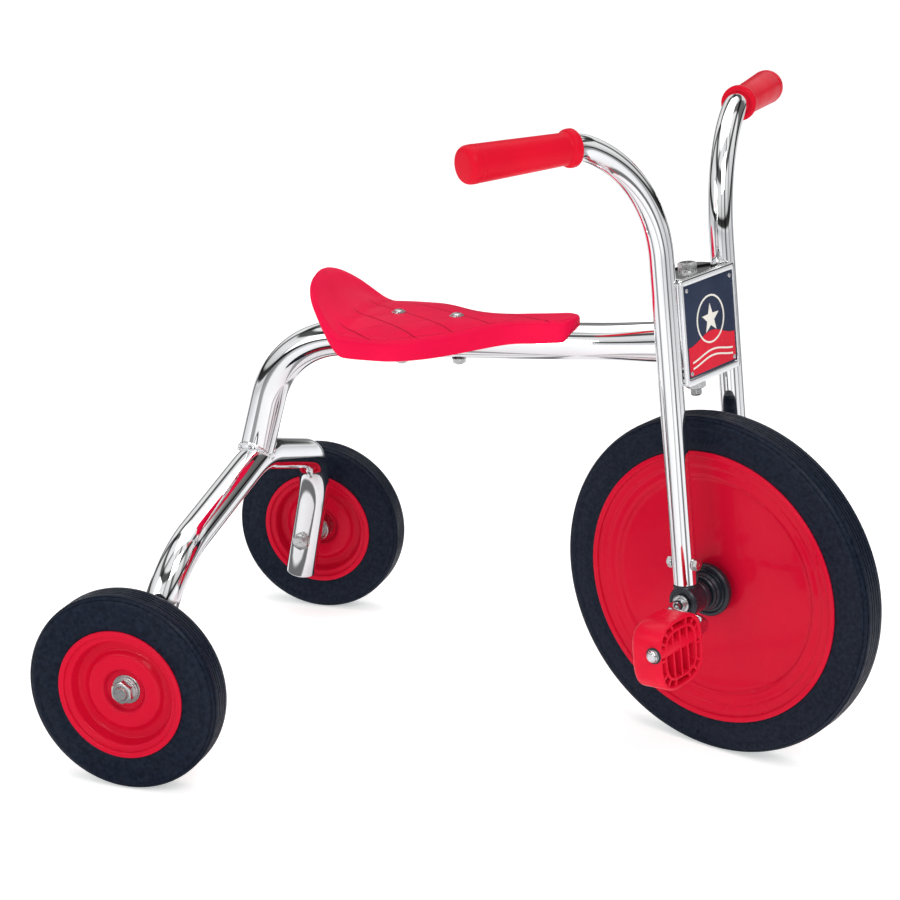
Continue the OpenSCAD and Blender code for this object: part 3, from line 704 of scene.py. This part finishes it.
def build_saddle_bolts():
    bolts, nuts = Shape(), Shape()
    head = [(0, 0.2), (4.6, 0.2), (4.6, 1.4), (3.6, 2.4), (1.2, 2.8), (0, 2.8)]
    for y in BOLT_Y:
        top = saddle_mid_z(y)
        at = FROM_AXLE @ moved(y=y, z=top) @ turned(-BACKBONE_SLOPE, "X")
        under = BACKBONE_Z - (y - BACKBONE_Y) * tan(BACKBONE_SLOPE) - BACKBONE_R - top
        bolts.add(washer(-0.8, 0.7, 6.4, 2.5), at)
        bolts.add(lathe(fillet(head, 0.5), 40), at)
        bolts.add(shank(under - 6, 0, 3, 32), at)
        below = at @ moved(z=under) @ MIRROR_Z
        nuts.add(washer(0, 1.2, 6.5, 3), below)
        nuts.add(hex_nut(3.8, 10, 3), below @ moved(z=1.2))
    piece("saddle_bolt_heads", bolts, ZINC, "saddle_bolts")
    piece("saddle_lock_nuts", nuts, ZINC, "saddle_nuts")


build_saddle()
build_saddle_bolts()

# ---- rear axles, measured outward from each wheel's middle plane
HUB_IN, HUB_OUT = -17, 3
WASHER_T, NUT_H = 1.6, 8
LEG_INNER, LEG_OUTER = -57, -26
BOLT_R = 6
HEAD_WASHER_T = 1.2


def build_rear_axles():
    spacers, washers, nuts = Shape(), Shape(), Shape()
    outside = HUB_OUT + WASHER_T
    for name, side in SIDES:
        at = REAR[side] @ ALONG_X
        head = LEG_INNER - HEAD_WASHER_T
        bolt = Shape(shank(LEG_INNER, outside, BOLT_R), at)
        bolt.add(threaded_end(NUT_H + 1.5, BOLT_R), at @ moved(z=outside))
        bolt.add(washer(head, LEG_INNER, 8.8, 3), at)
        bolt.add(hex_nut(4, 15, 0.5), at @ moved(z=head) @ MIRROR_Z)
        piece(f"axle_bolt_{name}", bolt, ZINC, f"rear_axle_bolt_{name}")
        spacers.add(washer(LEG_OUTER + 0.2, HUB_IN - 0.3, 9, BOLT_R), at)
        washers.add(washer(HUB_OUT + 0.3, outside, 11.5, BOLT_R), at)
        nuts.add(washer(outside, outside + 1.2, 10, BOLT_R), at)
        nuts.add(hex_nut(NUT_H - 0.6, 17.6, BOLT_R), at @ moved(z=outside + 0.6))
    piece("axle_spacers", spacers, ZINC, "rear_axle_spacers")
    piece("axle_washers", washers, ZINC, "rear_axle_washers")
    piece("axle_nuts", nuts, ZINC, "rear_axle_nuts")


build_rear_axles()

# ---- fork, handlebars and grips
FORK_HALF_W, TUBE_LEAD = 44.8, 6.1
BAR_R, WALL = 10.5, 2.1
TUBE_END_Z = 14
BAR_BEND_Z, BAR_SPLAY = 294, 72.7
BAR_BENDS = [("bend", 109, 65.7), ("bend", 34, 23.2)]
GRIP_LEN, GRIP_END = 104.5, 6
BRACKET_LOW, BRACKET_HIGH = 184.5, 275
BRACKET_MIDDLE, BRACKET_H = (BRACKET_LOW + BRACKET_HIGH) / 2, BRACKET_HIGH - BRACKET_LOW
BRACKET_T, PLATE_T, PLATE_W = 3, 2, 80
PLATE_Y = -TUBE_LEAD - BAR_R
STEERING_BOLT_R = 4.75
CLAMP_Z, CLAMP_R = 32, 3
# outline of the grip as (radius, along, rounding), with its collar at the start and a
# fine groove near the end
GRIP = ((10.6, -0.2, 0), (13.6, -0.2, 1), (15.4, 1.4, 1), (15.6, 4.5, 1.4), (15.2, 7.2, 1.2),
        (13.5, 8.6, 0.8), (12.9, 10.0, 0.5), (12.75, 11.0, 0.5), (13.0, 12.2, 0.6),
        (14.3, 60, 3), (15.1, 90.2, 0.5), (15.05, 91.4, 0.2), (14.85, 91.8, 0.15),
        (14.9, 92.4, 0.15), (15.25, 92.8, 0.2), (15.35, 96, 2), (15.1, 100.2, 1.4),
        (13.6, 103.1, 1.2), (10.8, 104.1, 1.5), (6.0, 104.4, 2), (0, 104.5, 0), (0, 99, 0),
        (10.6, 99, 0))


def rounded(profile, steps=4):
    """The outline through (radius, along, rounding) points."""
    return fillet([p[:2] for p in profile], [p[2] for p in profile], steps)


def on_fork_tube(side, z=0.0):
    return FORK @ on_side(side) @ moved(FORK_HALF_W, -TUBE_LEAD, z)


def build_fork_tubes():
    for name, side in SIDES:
        foot = on_fork_tube(side) @ turned(90 - BAR_SPLAY, "Z")
        lip = 0.5
        frames = walk([("run", BAR_BEND_Z - TUBE_END_Z - lip), *BAR_BENDS,
                       ("run", GRIP_LEN - GRIP_END)], foot @ moved(z=TUBE_END_Z + lip))
        shape = Shape(tube(frames, BAR_R, 48, wall=WALL))
        piece(f"fork_bar_{name}", shape, CHROME, f"fork_tube_{name}")
        grip_at = walk([("run", BAR_BEND_Z), *BAR_BENDS], foot)[-1]
        grip = Shape(lathe(rounded(GRIP)), grip_at)
        piece(f"grip_sleeve_{name}", grip, RED_VINYL, f"grip_{name}", sharp=SHARP_MOULDED)


def build_bracket():
    """A pressed plate ahead of the tubes with a raised rim, and a flange folded back
    over and under the head."""
    at = FORK @ moved(y=PLATE_Y, z=BRACKET_MIDDLE) @ turned(90, "X")
    shape = Shape()
    shape.add(prism(rounded_rectangle(PLATE_W, BRACKET_H, 3), 0.0, PLATE_T, 0.5), at)

    def grown(points, amount, z):
        w, h = max(x for x, _ in points), max(y for _, y in points)
        return [(x * (w + amount) / w, y * (h + amount) / h, z) for x, y in points]

    # the rim stands round the badge
    outer = rounded_rectangle(PLATE_W - 0.6, BRACKET_H - 0.6, 3)
    inner = rounded_rectangle(73, 79, 2)
    low, high, edge, bevel = PLATE_T * 0.5, PLATE_T + 1.5, 0.5, 0.15
    shape.add(loft([grown(*loop) for loop in (
        (outer, 0, low), (outer, 0, high - edge), (outer, -bevel, high - bevel),
        (outer, -edge, high), (inner, edge, high), (inner, bevel, high - bevel),
        (inner, 0, high - edge), (inner, 0, low))], ring=True), at)
    w, depth, corner = FORK_HALF_W - BAR_R, 18 - PLATE_Y, 12
    flange = fillet([(w, 0), (w, depth), (-w, depth), (-w, 0)], [0, corner, corner, 0], 8)
    for z in (BRACKET_LOW, BRACKET_HIGH - BRACKET_T):
        shape.add(prism(flange, 0, BRACKET_T, 0.5), FORK @ moved(y=PLATE_Y - 0.5, z=z))
    piece("head_bracket_plate", shape, CHROME, "head_bracket")


def star(points, outer_r, inner_r, centre):
    out = []
    for k in range(2 * points):
        a = math.pi / 2 + math.pi * k / points
        r = outer_r if k % 2 == 0 else inner_r
        out.append((centre[0] + r * math.cos(a), centre[1] + r * math.sin(a)))
    return out


def build_badge():
    """A plain two-colour badge: a five-pointed star in a ring, over a lower band."""
    at = FORK @ moved(y=PLATE_Y - PLATE_T, z=BRACKET_MIDDLE) @ turned(90, "X")
    w, h = 36, 39
    field = Shape(prism(rounded_rectangle(2 * w, 2 * h, 1.5), 0, 0.8, 0.2), at)
    piece("badge_field", field, NAVY, "badge_plate")
    # the band and its wavy top stay just inside the field's edge
    band_w, band_h, band_top = w * 0.955, h * 0.955, -9
    shares = [1 - 2 * k / 24 for k in range(25)]
    wave = [(band_w * t, band_top + 4 * math.cos(math.pi * t)) for t in shares]
    band = Shape(prism([(-band_w, -band_h), (band_w, -band_h)] + wave, 0.6, 1.0), at)
    piece("badge_band", band, BADGE_RED, body="fork")
    emblem = Shape()
    middle, low, high = 5, 0.6, 1.25
    emblem.add(prism(star(5, 13, 5.4, (0, middle)), low, high, 0.2), at)
    emblem.add(washer(low, high, 20.5, 18.9, 0.2, 96), at @ moved(y=middle))
    for offset in (-21, -26):
        stripe = [(x, offset + 2.6 * math.cos(math.pi * x / 34) - 2)
                  for x in range(-30, 31, 3)]
        outline = stripe + [(x, y - 1.5) for x, y in stripe[::-1]]
        emblem.add(prism(outline, 0.8, high), at)
    piece("badge_emblem", emblem, CREAM, body="fork")
    rivets = Shape()
    dome = [(0, 0), (2, 0), (1.85, 0.45), (1.3, 0.8), (0.6, 0.98), (0, 1.0)]
    for x in (4 - w, w - 4):
        for y in (4 - h, h - 4):
            rivets.add(lathe(dome, 24), at @ moved(x, y, 1.0))
    piece("badge_rivet_heads", rivets, ZINC, "badge_rivets")


def build_steering_bolt():
    bolt_end, head_washer_t = BRACKET_LOW - 8, 1.5
    bolt = Shape()
    bolt.add(shank(bolt_end, BRACKET_HIGH + 1, STEERING_BOLT_R), FORK)
    bolt.add(threaded_end(9, STEERING_BOLT_R), FORK @ moved(z=bolt_end) @ MIRROR_Z)
    bolt.add(washer(BRACKET_HIGH, BRACKET_HIGH + head_washer_t, 8, 3), FORK)
    bolt.add(hex_nut(5.2, 14, 0.4), FORK @ moved(z=BRACKET_HIGH + head_washer_t))
    piece("steering_bolt_body", bolt, ZINC, "steering_bolt")
    rings = Shape()
    for z, thickness, outer_r in ((BRACKET_LOW + BRACKET_T, 2, 14),
                                  (BRACKET_HIGH - BRACKET_T - 2, 2, 14),
                                  (BRACKET_LOW - 1.5, 1.5, 9.5)):
        rings.add(washer(z, z + thickness, outer_r, STEERING_BOLT_R), FORK)
    piece("steering_thrust_rings", rings, ZINC, "steering_washers")
    nut = Shape(hex_nut(9, 15, STEERING_BOLT_R, True), FORK @ moved(z=BRACKET_LOW - 10.5))
    piece("steering_lock_nut", nut, ZINC, "steering_nut")


def build_housings():
    bolts, nuts, bushes = Shape(), Shape(), Shape()
    shell = [(7, 31), (12.2, 31), (14, 32.6), (14, 37.2), (13.4, 37.8), (13.4, 50.2),
             (14, 50.8), (14, 55.2), (12.6, 57), (10.6, 57), (10.2, 56.2), (7, 56.2)]
    # the boss under the tube's end, and its spigot inside the tube
    boss = [(0, 2), (10.9, 2), (10.9, TUBE_END_Z - 1.6), (10.5, TUBE_END_Z - 0.2),
            (8.4, TUBE_END_Z - 0.2), (8.4, 30), (0, 30)]
    dome = ((3.1, 3.2, 0), (4.4, 3.4, 0.4), (4.0, 5.6, 1), (2.6, 7.0, 1), (0, 7.4, 0),
            (0, 5.4, 0), (3.1, 4.6, 0))
    for name, side in SIDES:
        along = FORK @ on_side(side) @ moved(y=-AXLE_LEAD) @ ALONG_X
        shape = Shape(lathe(fillet(shell, 0.5, 3)), along)
        shape.add(lathe(fillet(boss, 0.4, 3), 64), on_fork_tube(side))
        piece(f"crank_housing_shell_{name}", shape, BLACK_PLASTIC, f"crank_housing_{name}")
        clamp = on_fork_tube(side, CLAMP_Z) @ turned(90, "X")
        seat, head = BAR_R - 0.4, BAR_R + 0.8
        bolts.add(shank(-14, 12, CLAMP_R, 32), clamp)
        bolts.add(washer(seat, head, 5.5, 2), clamp)
        bolts.add(hex_nut(3.8, 9, 0.3), clamp @ moved(z=head))
        back = clamp @ MIRROR_Z @ moved(z=seat)
        nuts.add(washer(0, 1.2, 5.5, CLAMP_R), back)
        nuts.add(hex_nut(3.6, 10, CLAMP_R), back @ moved(z=1))
        nuts.add(lathe(rounded(dome, 3), 40), back)
        bushes.add(washer(31, 57, 7, ROD_BORE_R), along)
    piece("housing_bolt_heads", bolts, ZINC, "housing_bolts")
    piece("housing_acorn_nuts", nuts, ZINC, "housing_nuts")
    piece("crank_bush_rings", bushes, BEARING, "crank_bushes")


build_fork_tubes()
build_bracket()
build_badge()
build_steering_bolt()
build_housings()

# ---- tyres and rims
TYRE_HALF_W, SHOULDER_R = 15.4, 7.4
FRONT_R, FRONT_LIP = 152.4, 122.6
REAR_R, REAR_LIP = 87.1, 57.2
LIP_X, CHANNEL_X, RIM_T = 16.5, 13.9, 1.6
CHANNEL_DEPTH = 4.6
TREAD_GROOVES, GROOVE_DEPTH, GROOVE_HALF_W = (5.2, 1.9), 0.9, 0.55
# faces of the discs from the hub to the foot of the outer wall, as (radius, along,
# rounding)
FRONT_FACE = ((15, 8, 0), (24, 8, 1), (94, 8, 2), (96.5, 8.4, 2), (99, 10.6, 2),
              (101.5, 11.4, 1.5), (106.5, 11.4, 1.5), (108.5, 11.9, 1), (110, 13.1, 1),
              (112.5, 13.3, 0.5))
REAR_FACE = ((13, 2.5, 0), (16, 2.6, 0.5), (17.5, 3.4, 1), (19.5, 6.9, 1), (21.5, 7.6, 1),
             (31, 7.5, 1.5), (33, 6.9, 1.5), (36, 3.7, 1.2), (38, 3.0, 1.2), (42.5, 3.0, 1.5),
             (44.5, 3.9, 1.5), (46.8, 12.2, 1), (48, 13.2, 0.6), (49.4, 13.4, 0.3))


def tyre_outline(outer_r, lip_r):
    """Half of it runs from the rim to the middle of the tread, and is mirrored."""
    half = [(lip_r - CHANNEL_DEPTH, CHANNEL_X), (lip_r + 0.05, CHANNEL_X),
            (lip_r + 0.05, TYRE_HALF_W - 0.5), (lip_r + 0.8, TYRE_HALF_W)]
    side_end = outer_r - SHOULDER_R
    line_r = side_end - 2.2   # a moulded line on the sidewall
    half += [(lip_r + 9, TYRE_HALF_W - 0.1), (line_r - 3.0, TYRE_HALF_W - 0.15),
             (line_r - 1.5, TYRE_HALF_W - 0.45), (line_r - 0.9, TYRE_HALF_W - 0.4),
             (line_r, TYRE_HALF_W), (line_r + 1.2, TYRE_HALF_W)]

    def on_shoulder(degrees, depth=0.0):
        r = SHOULDER_R - depth
        return side_end + r * sin(degrees), TYRE_HALF_W - SHOULDER_R + r * cos(degrees)

    for degrees in range(0, 91, 10):
        half.append(on_shoulder(degrees))
        if degrees in (30, 60):
            # fine moulded steps round the shoulder
            half += [on_shoulder(degrees + 4, 0.45), on_shoulder(degrees + 6, 0.45),
                     on_shoulder(degrees + 7)]
    for x in TREAD_GROOVES:
        half += [(outer_r, x + GROOVE_HALF_W), (outer_r - GROOVE_DEPTH, x + GROOVE_HALF_W * 0.7),
                 (outer_r - GROOVE_DEPTH, x - GROOVE_HALF_W * 0.7), (outer_r, x - GROOVE_HALF_W)]
    return half + [(r, -x) for r, x in half[::-1]]


def build_tyre(name, at, outer_r, lip_r, node):
    shape = Shape(lathe(tyre_outline(outer_r, lip_r), 192), at @ ALONG_X)
    piece(name, shape, RUBBER, node, sharp=38)


def rim_outline(lip_r, face):
    """A pressed half of a rim: its face, the lip round the tyre, and back inside."""
    channel, foot_x = lip_r - CHANNEL_DEPTH, face[-1][1]
    lip = [(channel - 0.6, foot_x + 0.6, 0.5), (channel - 0.2, LIP_X - 0.5, 0.8),
           (channel + 0.9, LIP_X + 0.1, 0.8), (lip_r - 0.7, LIP_X, 0.5),
           (lip_r, LIP_X - 0.6, 0.3), (lip_r, CHANNEL_X, 0)]
    back = [(channel + 0.02, CHANNEL_X, 0), (channel, 0.0, 0), (channel - RIM_T, 0.0, 0),
            (channel - RIM_T, foot_x - RIM_T, 0)]
    back += [(r, x - RIM_T, 0) for r, x, _ in face[::-1]]
    return rounded([*face, *lip, *back], 5)


def build_front_rims():
    for name, side in SIDES:
        shape = Shape(lathe(rim_outline(FRONT_LIP, FRONT_FACE), 192), at_front_axle(side))
        piece(f"front_wheel_disc_{name}", shape, RED_ENAMEL, f"front_rim_{name}",
              sharp=SHARP_MOULDED)


def build_rear_wheels():
    bearing_w = 9
    for name, side in SIDES:
        at = REAR[side]
        build_tyre(f"tyre_rear_{name}", at, REAR_R, REAR_LIP, f"rear_tyre_{name}")
        for part, flip in (("outer", 1), ("inner", -1)):
            shape = Shape(lathe(rim_outline(REAR_LIP, REAR_FACE), 144),
                          at @ on_side(flip) @ ALONG_X)
            piece(f"rear_disc_{part}_{name}", shape, RED_ENAMEL, f"rear_rim_{part}_{name}",
                  sharp=SHARP_MOULDED)
        hub = Shape(washer(HUB_IN, HUB_OUT, 12.9, 10, 0.5, 72, 3), at @ ALONG_X)
        piece(f"rear_hub_barrel_{name}", hub, ZINC, f"rear_hub_{name}")
        races = Shape()
        for start in (HUB_IN, HUB_OUT - bearing_w):
            races.add(washer(start + 0.2, start + bearing_w - 0.2, 10, 6.05, 0.5),
                      at @ ALONG_X)
        piece(f"rear_bearing_races_{name}", races, BEARING, f"rear_bearings_{name}")


build_tyre("tyre_front", FRONT_AXLE, FRONT_R, FRONT_LIP, "front_tyre")
build_front_rims()
build_rear_wheels()

# ---- front hub, crank and pedals
JOURNAL_HALF = 67
ROD_BEND_R = 13
PEDAL_LEN, PEDAL_H, PEDAL_T = 60, 58, 30
PEDAL_IN = JOURNAL_HALF + 2 * ROD_BEND_R + 7
PEDAL_OUT = PEDAL_IN + PEDAL_LEN
SPINDLE_END = PEDAL_OUT + 2
PEDAL_FRONT, PEDAL_SAG = 6.5, 6
# the pedal's side wall, its hollow's floor, and the rim inside the hollow
PEDAL_EDGE, PEDAL_WALL, PEDAL_FLOOR = 6, 3, 4
RIM_IN, RIM_W, RIB_T = 7.6, 2.2, 2.2
SLEEVE_R, BARREL_R = 5.6, 6.25
PEDAL_POWER = 0.62            # 1 would make the pedal's outline an ellipse


def build_front_hub():
    half = 14
    hub = Shape(washer(-half, half, 14.9, ROD_R), FRONT_AXLE @ ALONG_X)
    piece("front_hub_barrel", hub, ZINC, "front_hub")
    cap = [(5, 8.1), (16.8, 8.1), (16.8, 15.6), (23.2, 15.6), (23.7, 16.4), (23.7, 20.8),
           (22.6, 22.0), (20.4, 22.0), (19.8, 20.8), (17.4, 20.8), (16.9, 22.4),
           (16.9, 24.6), (15.4, 25.8), (15.4, 28), (14.4, 29.3), (10.5, 29.3), (10, 28.2),
           (5, 28.2)]
    for name, side in SIDES:
        shape = Shape(lathe(fillet(cap, 0.5, 3)), at_front_axle(side))
        piece(f"hub_cap_{name}", shape, BLACK_PLASTIC, f"hub_flange_{name}")
    pin = Shape(lathe(rounded(((0, -half, 0), (2, -half, 0.4), (2, half, 0.4), (0, half, 0))),
                      24), CRANK)
    piece("drive_pin", pin, ZINC, "hub_drive_pin")


def build_crank_rod():
    # half of the rod: along the axle, round to the crank arm, and out along the spindle
    moves = [("run", JOURNAL_HALF), ("bend", ROD_BEND_R, 90),
             ("run", CRANK_THROW - 2 * ROD_BEND_R), ("bend", -ROD_BEND_R, -90),
             ("run", SPINDLE_END - JOURNAL_HALF - 2 * ROD_BEND_R)]
    right, left = (walk(moves, start @ ALONG_X @ turned(90, "Z"), arc_step=4)
                   for start in (CRANK @ turned(180, "Z"), CRANK))
    frames = [m @ turned(180, "Y") for m in left[:0:-1]] + right
    shape = Shape(tube(frames, ROD_R, 40, end_round=2.4))
    piece("crank_bent_rod", shape, STEEL_ROD, "crank_rod")
    rings, caps = Shape(), Shape()
    for _, side in SIDES:
        at = at_front_axle(side)
        rings.add(washer(29.5, 30.7, 9, ROD_R), at)
        rings.add(washer(57.3, 59, 8, ROD_R, 0.5), at)
        caps.add(washer(PEDAL_OUT + 0.3, SPINDLE_END - 0.9, 5.5, ROD_R),
                 on_pedal(side) @ ALONG_X)
    piece("crank_thrust_rings", rings, ZINC, "crank_washers")
    piece("pedal_push_caps", caps, ZINC, "pedal_push_nuts")


def pedal_outline(inset, count=96):
    """The pedal's outline moved in by inset, a rectangle with full rounded sides."""
    return [((PEDAL_LEN / 2 - inset) * math.copysign(abs(c) ** PEDAL_POWER, c),
             (PEDAL_H / 2 - inset) * math.copysign(abs(s) ** PEDAL_POWER, s))
            for c, s in circle(count)]


def pedal_block():
    """A hollow block from z = 0 to PEDAL_T, open at the top, with ribs in it."""
    def skin(profile, ring=False):
        return loft([[(x, y, z) for x, y in pedal_outline(inset)] for inset, z in profile],
                    ring=ring)

    top, low, high = PEDAL_T, PEDAL_FLOOR - 1, PEDAL_T - 0.05
    edge = [(PEDAL_EDGE * (1 - sin(a)), PEDAL_EDGE * (1 - cos(a))) for a in range(0, 91, 15)]
    shape = Shape(skin(edge + [
        (0, top - 1), (0.3, top - 0.3), (1, top), (PEDAL_WALL - 0.7, top),
        (PEDAL_WALL, top - 0.7), (PEDAL_WALL + 0.4, PEDAL_FLOOR + 1),
        (PEDAL_WALL + 1.6, PEDAL_FLOOR)]))
    rim_end, bevel = RIM_IN + RIM_W, 0.4
    shape.add(skin([(RIM_IN, low), (RIM_IN, high - bevel), (RIM_IN + bevel, high),
                    (rim_end - bevel, high), (rim_end, high - bevel), (rim_end, low)], True))
    depth = high - low - bevel
    # short ribs join the inner rim to the wall
    for (x0, y0), (x1, y1) in zip(pedal_outline(RIM_IN, 14), pedal_outline(PEDAL_WALL, 14)):
        shape.add(box((math.hypot(x1 - x0, y1 - y0) + 1.6, RIB_T, depth), 0.35),
                  moved((x0 + x1) / 2, (y0 + y1) / 2, low + depth / 2)
                  @ Matrix.Rotation(math.atan2(y1 - y0, x1 - x0), 4, "Z"))
    # three upright ribs inside the inner rim
    half_l, half_h = PEDAL_LEN / 2 - rim_end, PEDAL_H / 2 - rim_end
    power = PEDAL_POWER / 2
    for share in (-0.5, 0.0, 0.5):
        tall = 2 * half_h * (1 - abs(share) ** (1 / power)) ** power + 1.2
        shape.add(box((RIB_T, tall, depth), 0.35), moved(share * half_l, 0, low + depth / 2))
    return shape.verts, shape.faces


def build_pedals():
    for name, side in SIDES:
        at = (on_pedal(side) @ moved(PEDAL_IN + PEDAL_LEN / 2, PEDAL_T - PEDAL_FRONT, -PEDAL_SAG)
              @ turned(90, "X"))
        shape = Shape(pedal_block(), at)
        # barrel round the spindle, seen between the ribs
        spindle = on_pedal(side) @ ALONG_X
        shape.add(washer(PEDAL_IN + 1.5, PEDAL_OUT - 1.5, BARREL_R, SLEEVE_R, 0.1, 56), spindle)
        piece(f"pedal_block_{name}", shape, RED_GLOSSY, f"pedal_{name}", sharp=48)
        sleeve = Shape(washer(PEDAL_IN, PEDAL_OUT, SLEEVE_R, ROD_BORE_R), spindle)
        sleeve.add(washer(PEDAL_OUT - 0.6, PEDAL_OUT + 0.4, 6.9, ROD_BORE_R), spindle)
        piece(f"pedal_bearing_{name}", sleeve, BLACK_PLASTIC, f"pedal_sleeve_{name}")


build_front_hub()
build_crank_rod()
build_pedals()


# ---- stage
# start and end of each dark panel, as shares of the turn, and its brightness
PANELS = ((0.045, 0.058, 0.4), (0.13, 0.155, 0.05), (0.235, 0.25, 0.3), (0.36, 0.40, 0.06),
          (0.53, 0.55, 0.1), (0.68, 0.71, 0.04), (0.86, 0.90, 0.2))
# brightness from straight down (0) to straight up (1), dark at the horizon and high up
HEIGHTS = ((0.0, 0.9), (0.50, 0.85), (0.515, 0.05), (0.56, 0.03), (0.585, 0.7), (0.7, 0.95),
           (0.78, 0.9), (0.80, 0.1), (0.86, 0.1), (0.88, 1.0), (1.0, 1.0))
PANEL_SHARE = 0.9
FLOOR_HALF = 15.0             # metres
FLOOR_PALE = (0.98, 0.93, 0.92, 1)
FLOOR_GLOW = (0.445, 0.47, 0.465, 1)
FLOOR_GLOW_REFLECTED = (0.12, 0.12, 0.125, 1)
SOFT_LIGHT = (0.58, 0.585, 0.6, 1)
WHITE = (1.0, 1.0, 1.0, 1)


def shades(graph, value, stops):
    """A grey ramp through (position, brightness) stops."""
    colour = graph.add("ValToRGB", {"Fac": value}, "Color")
    ramp = colour.node.color_ramp
    for element, (position, level) in zip(ramp.elements, (stops[0], stops[-1])):
        element.position, element.color = position, (level, level, level, 1)
    for position, level in stops[1:-1]:
        ramp.elements.new(position).color = (level, level, level, 1)
    return colour


def around(graph, direction):
    """Pale and dark panels round the studio, for reflections only."""
    angle = graph.math("ARCTAN2", direction["Y"], direction["X"])
    stops = [(0.0, 0.9)]
    for start, end, level in PANELS:
        stops += [(start - 0.008, 0.95), (start, level), (end, level), (end + 0.012, 0.8)]
    return shades(graph, graph.spread(angle, -math.pi, math.pi), stops + [(1.0, 0.9)])


def chosen(graph, ray, otherwise, value):
    """value for one kind of ray, and otherwise for the rest."""
    return graph.mix(graph.add("LightPath", {}, ray), otherwise, value)


def build_stage():
    """A floor that glows a little, so that it comes out white, and that shows the
    panels in reflections."""
    mesh = bpy.data.meshes.new("studio_floor")
    corners = ((-1, -1), (1, -1), (1, 1), (-1, 1))
    mesh.from_pydata([(FLOOR_HALF * x, FLOOR_HALF * y, 0) for x, y in corners],
                     [], [(0, 1, 2, 3)])
    floor = bpy.data.objects.new("studio_floor", mesh)
    mat = bpy.data.materials.new("studio_floor")
    graph = Graph(mat)
    shader = graph.nodes["Principled BSDF"].inputs
    shader["Roughness"].default_value = 0.8
    shader["Specular IOR Level"].default_value = 0.1
    shader["Emission Strength"].default_value = 1.0
    panels = around(graph, graph.split(graph.place()))
    graph.feed(shader["Base Color"], chosen(graph, "Is Glossy Ray", FLOOR_PALE, panels))
    graph.feed(shader["Emission Color"],
               chosen(graph, "Is Glossy Ray", FLOOR_GLOW, FLOOR_GLOW_REFLECTED))
    mesh.materials.append(mat)
    bpy.context.scene.collection.objects.link(floor)


def area_light(name, place, size, power):
    """A rectangular light that points at the middle of the tricycle."""
    data = bpy.data.lights.new(name, "AREA")
    data.shape = "RECTANGLE"
    data.size, data.size_y = size
    data.energy = power
    light = bpy.data.objects.new(name, data)
    light.location = place
    toward = Vector((0, 0, 0.25)) - Vector(place)
    light.rotation_euler = toward.to_track_quat("-Z", "Y").to_euler()
    bpy.context.scene.collection.objects.link(light)


def build_lights():
    area_light("key", (-1.6, -1.3, 2.3), (1.4, 1.4), 24)
    area_light("fill", (-2.2, 1.6, 1.4), (1.6, 1.2), 9)
    area_light("strip", (-2.0, 0.5, 0.55), (0.12, 0.9), 2.5)
    area_light("top", (0.4, 0.2, 2.8), (2.4, 2.4), 22)


def build_world():
    """Soft light for the shading, panels for the reflections, and white behind it all."""
    world = bpy.data.worlds.new("studio")
    bpy.context.scene.world = world
    graph = Graph(world)
    direction = graph.split(graph.place("Generated"))
    height = shades(graph, graph.spread(direction["Z"], -1, 1), HEIGHTS)
    panels = graph.mix(PANEL_SHARE, height, around(graph, direction), blend_type="MULTIPLY")
    lit = chosen(graph, "Is Glossy Ray", SOFT_LIGHT, panels)
    graph.feed(graph.nodes["Background"].inputs["Color"],
               chosen(graph, "Is Camera Ray", lit, WHITE))


def build_camera():
    """The view of the reference, with its slight roll in degrees."""
    place, target, roll = Vector((-1.6852, -0.5208, 0.7931)), Vector((0, 0.0438, 0.2507)), -0.677
    back = (place - target).normalized()
    right = Vector((0, 0, 1)).cross(back).normalized()
    up = back.cross(right)
    rolled_right = right * cos(roll) + up * sin(roll)
    data = bpy.data.cameras.new("camera")
    data.lens, data.sensor_width = 83.61, 36
    data.clip_end = 60
    camera = bpy.data.objects.new("camera", data)
    camera.matrix_world = frame_of(rolled_right, back, place)
    bpy.context.scene.collection.objects.link(camera)
    bpy.context.scene.camera = camera
    bpy.context.scene.view_settings.view_transform = "Standard"


build_stage()
build_lights()
build_world()
build_camera()
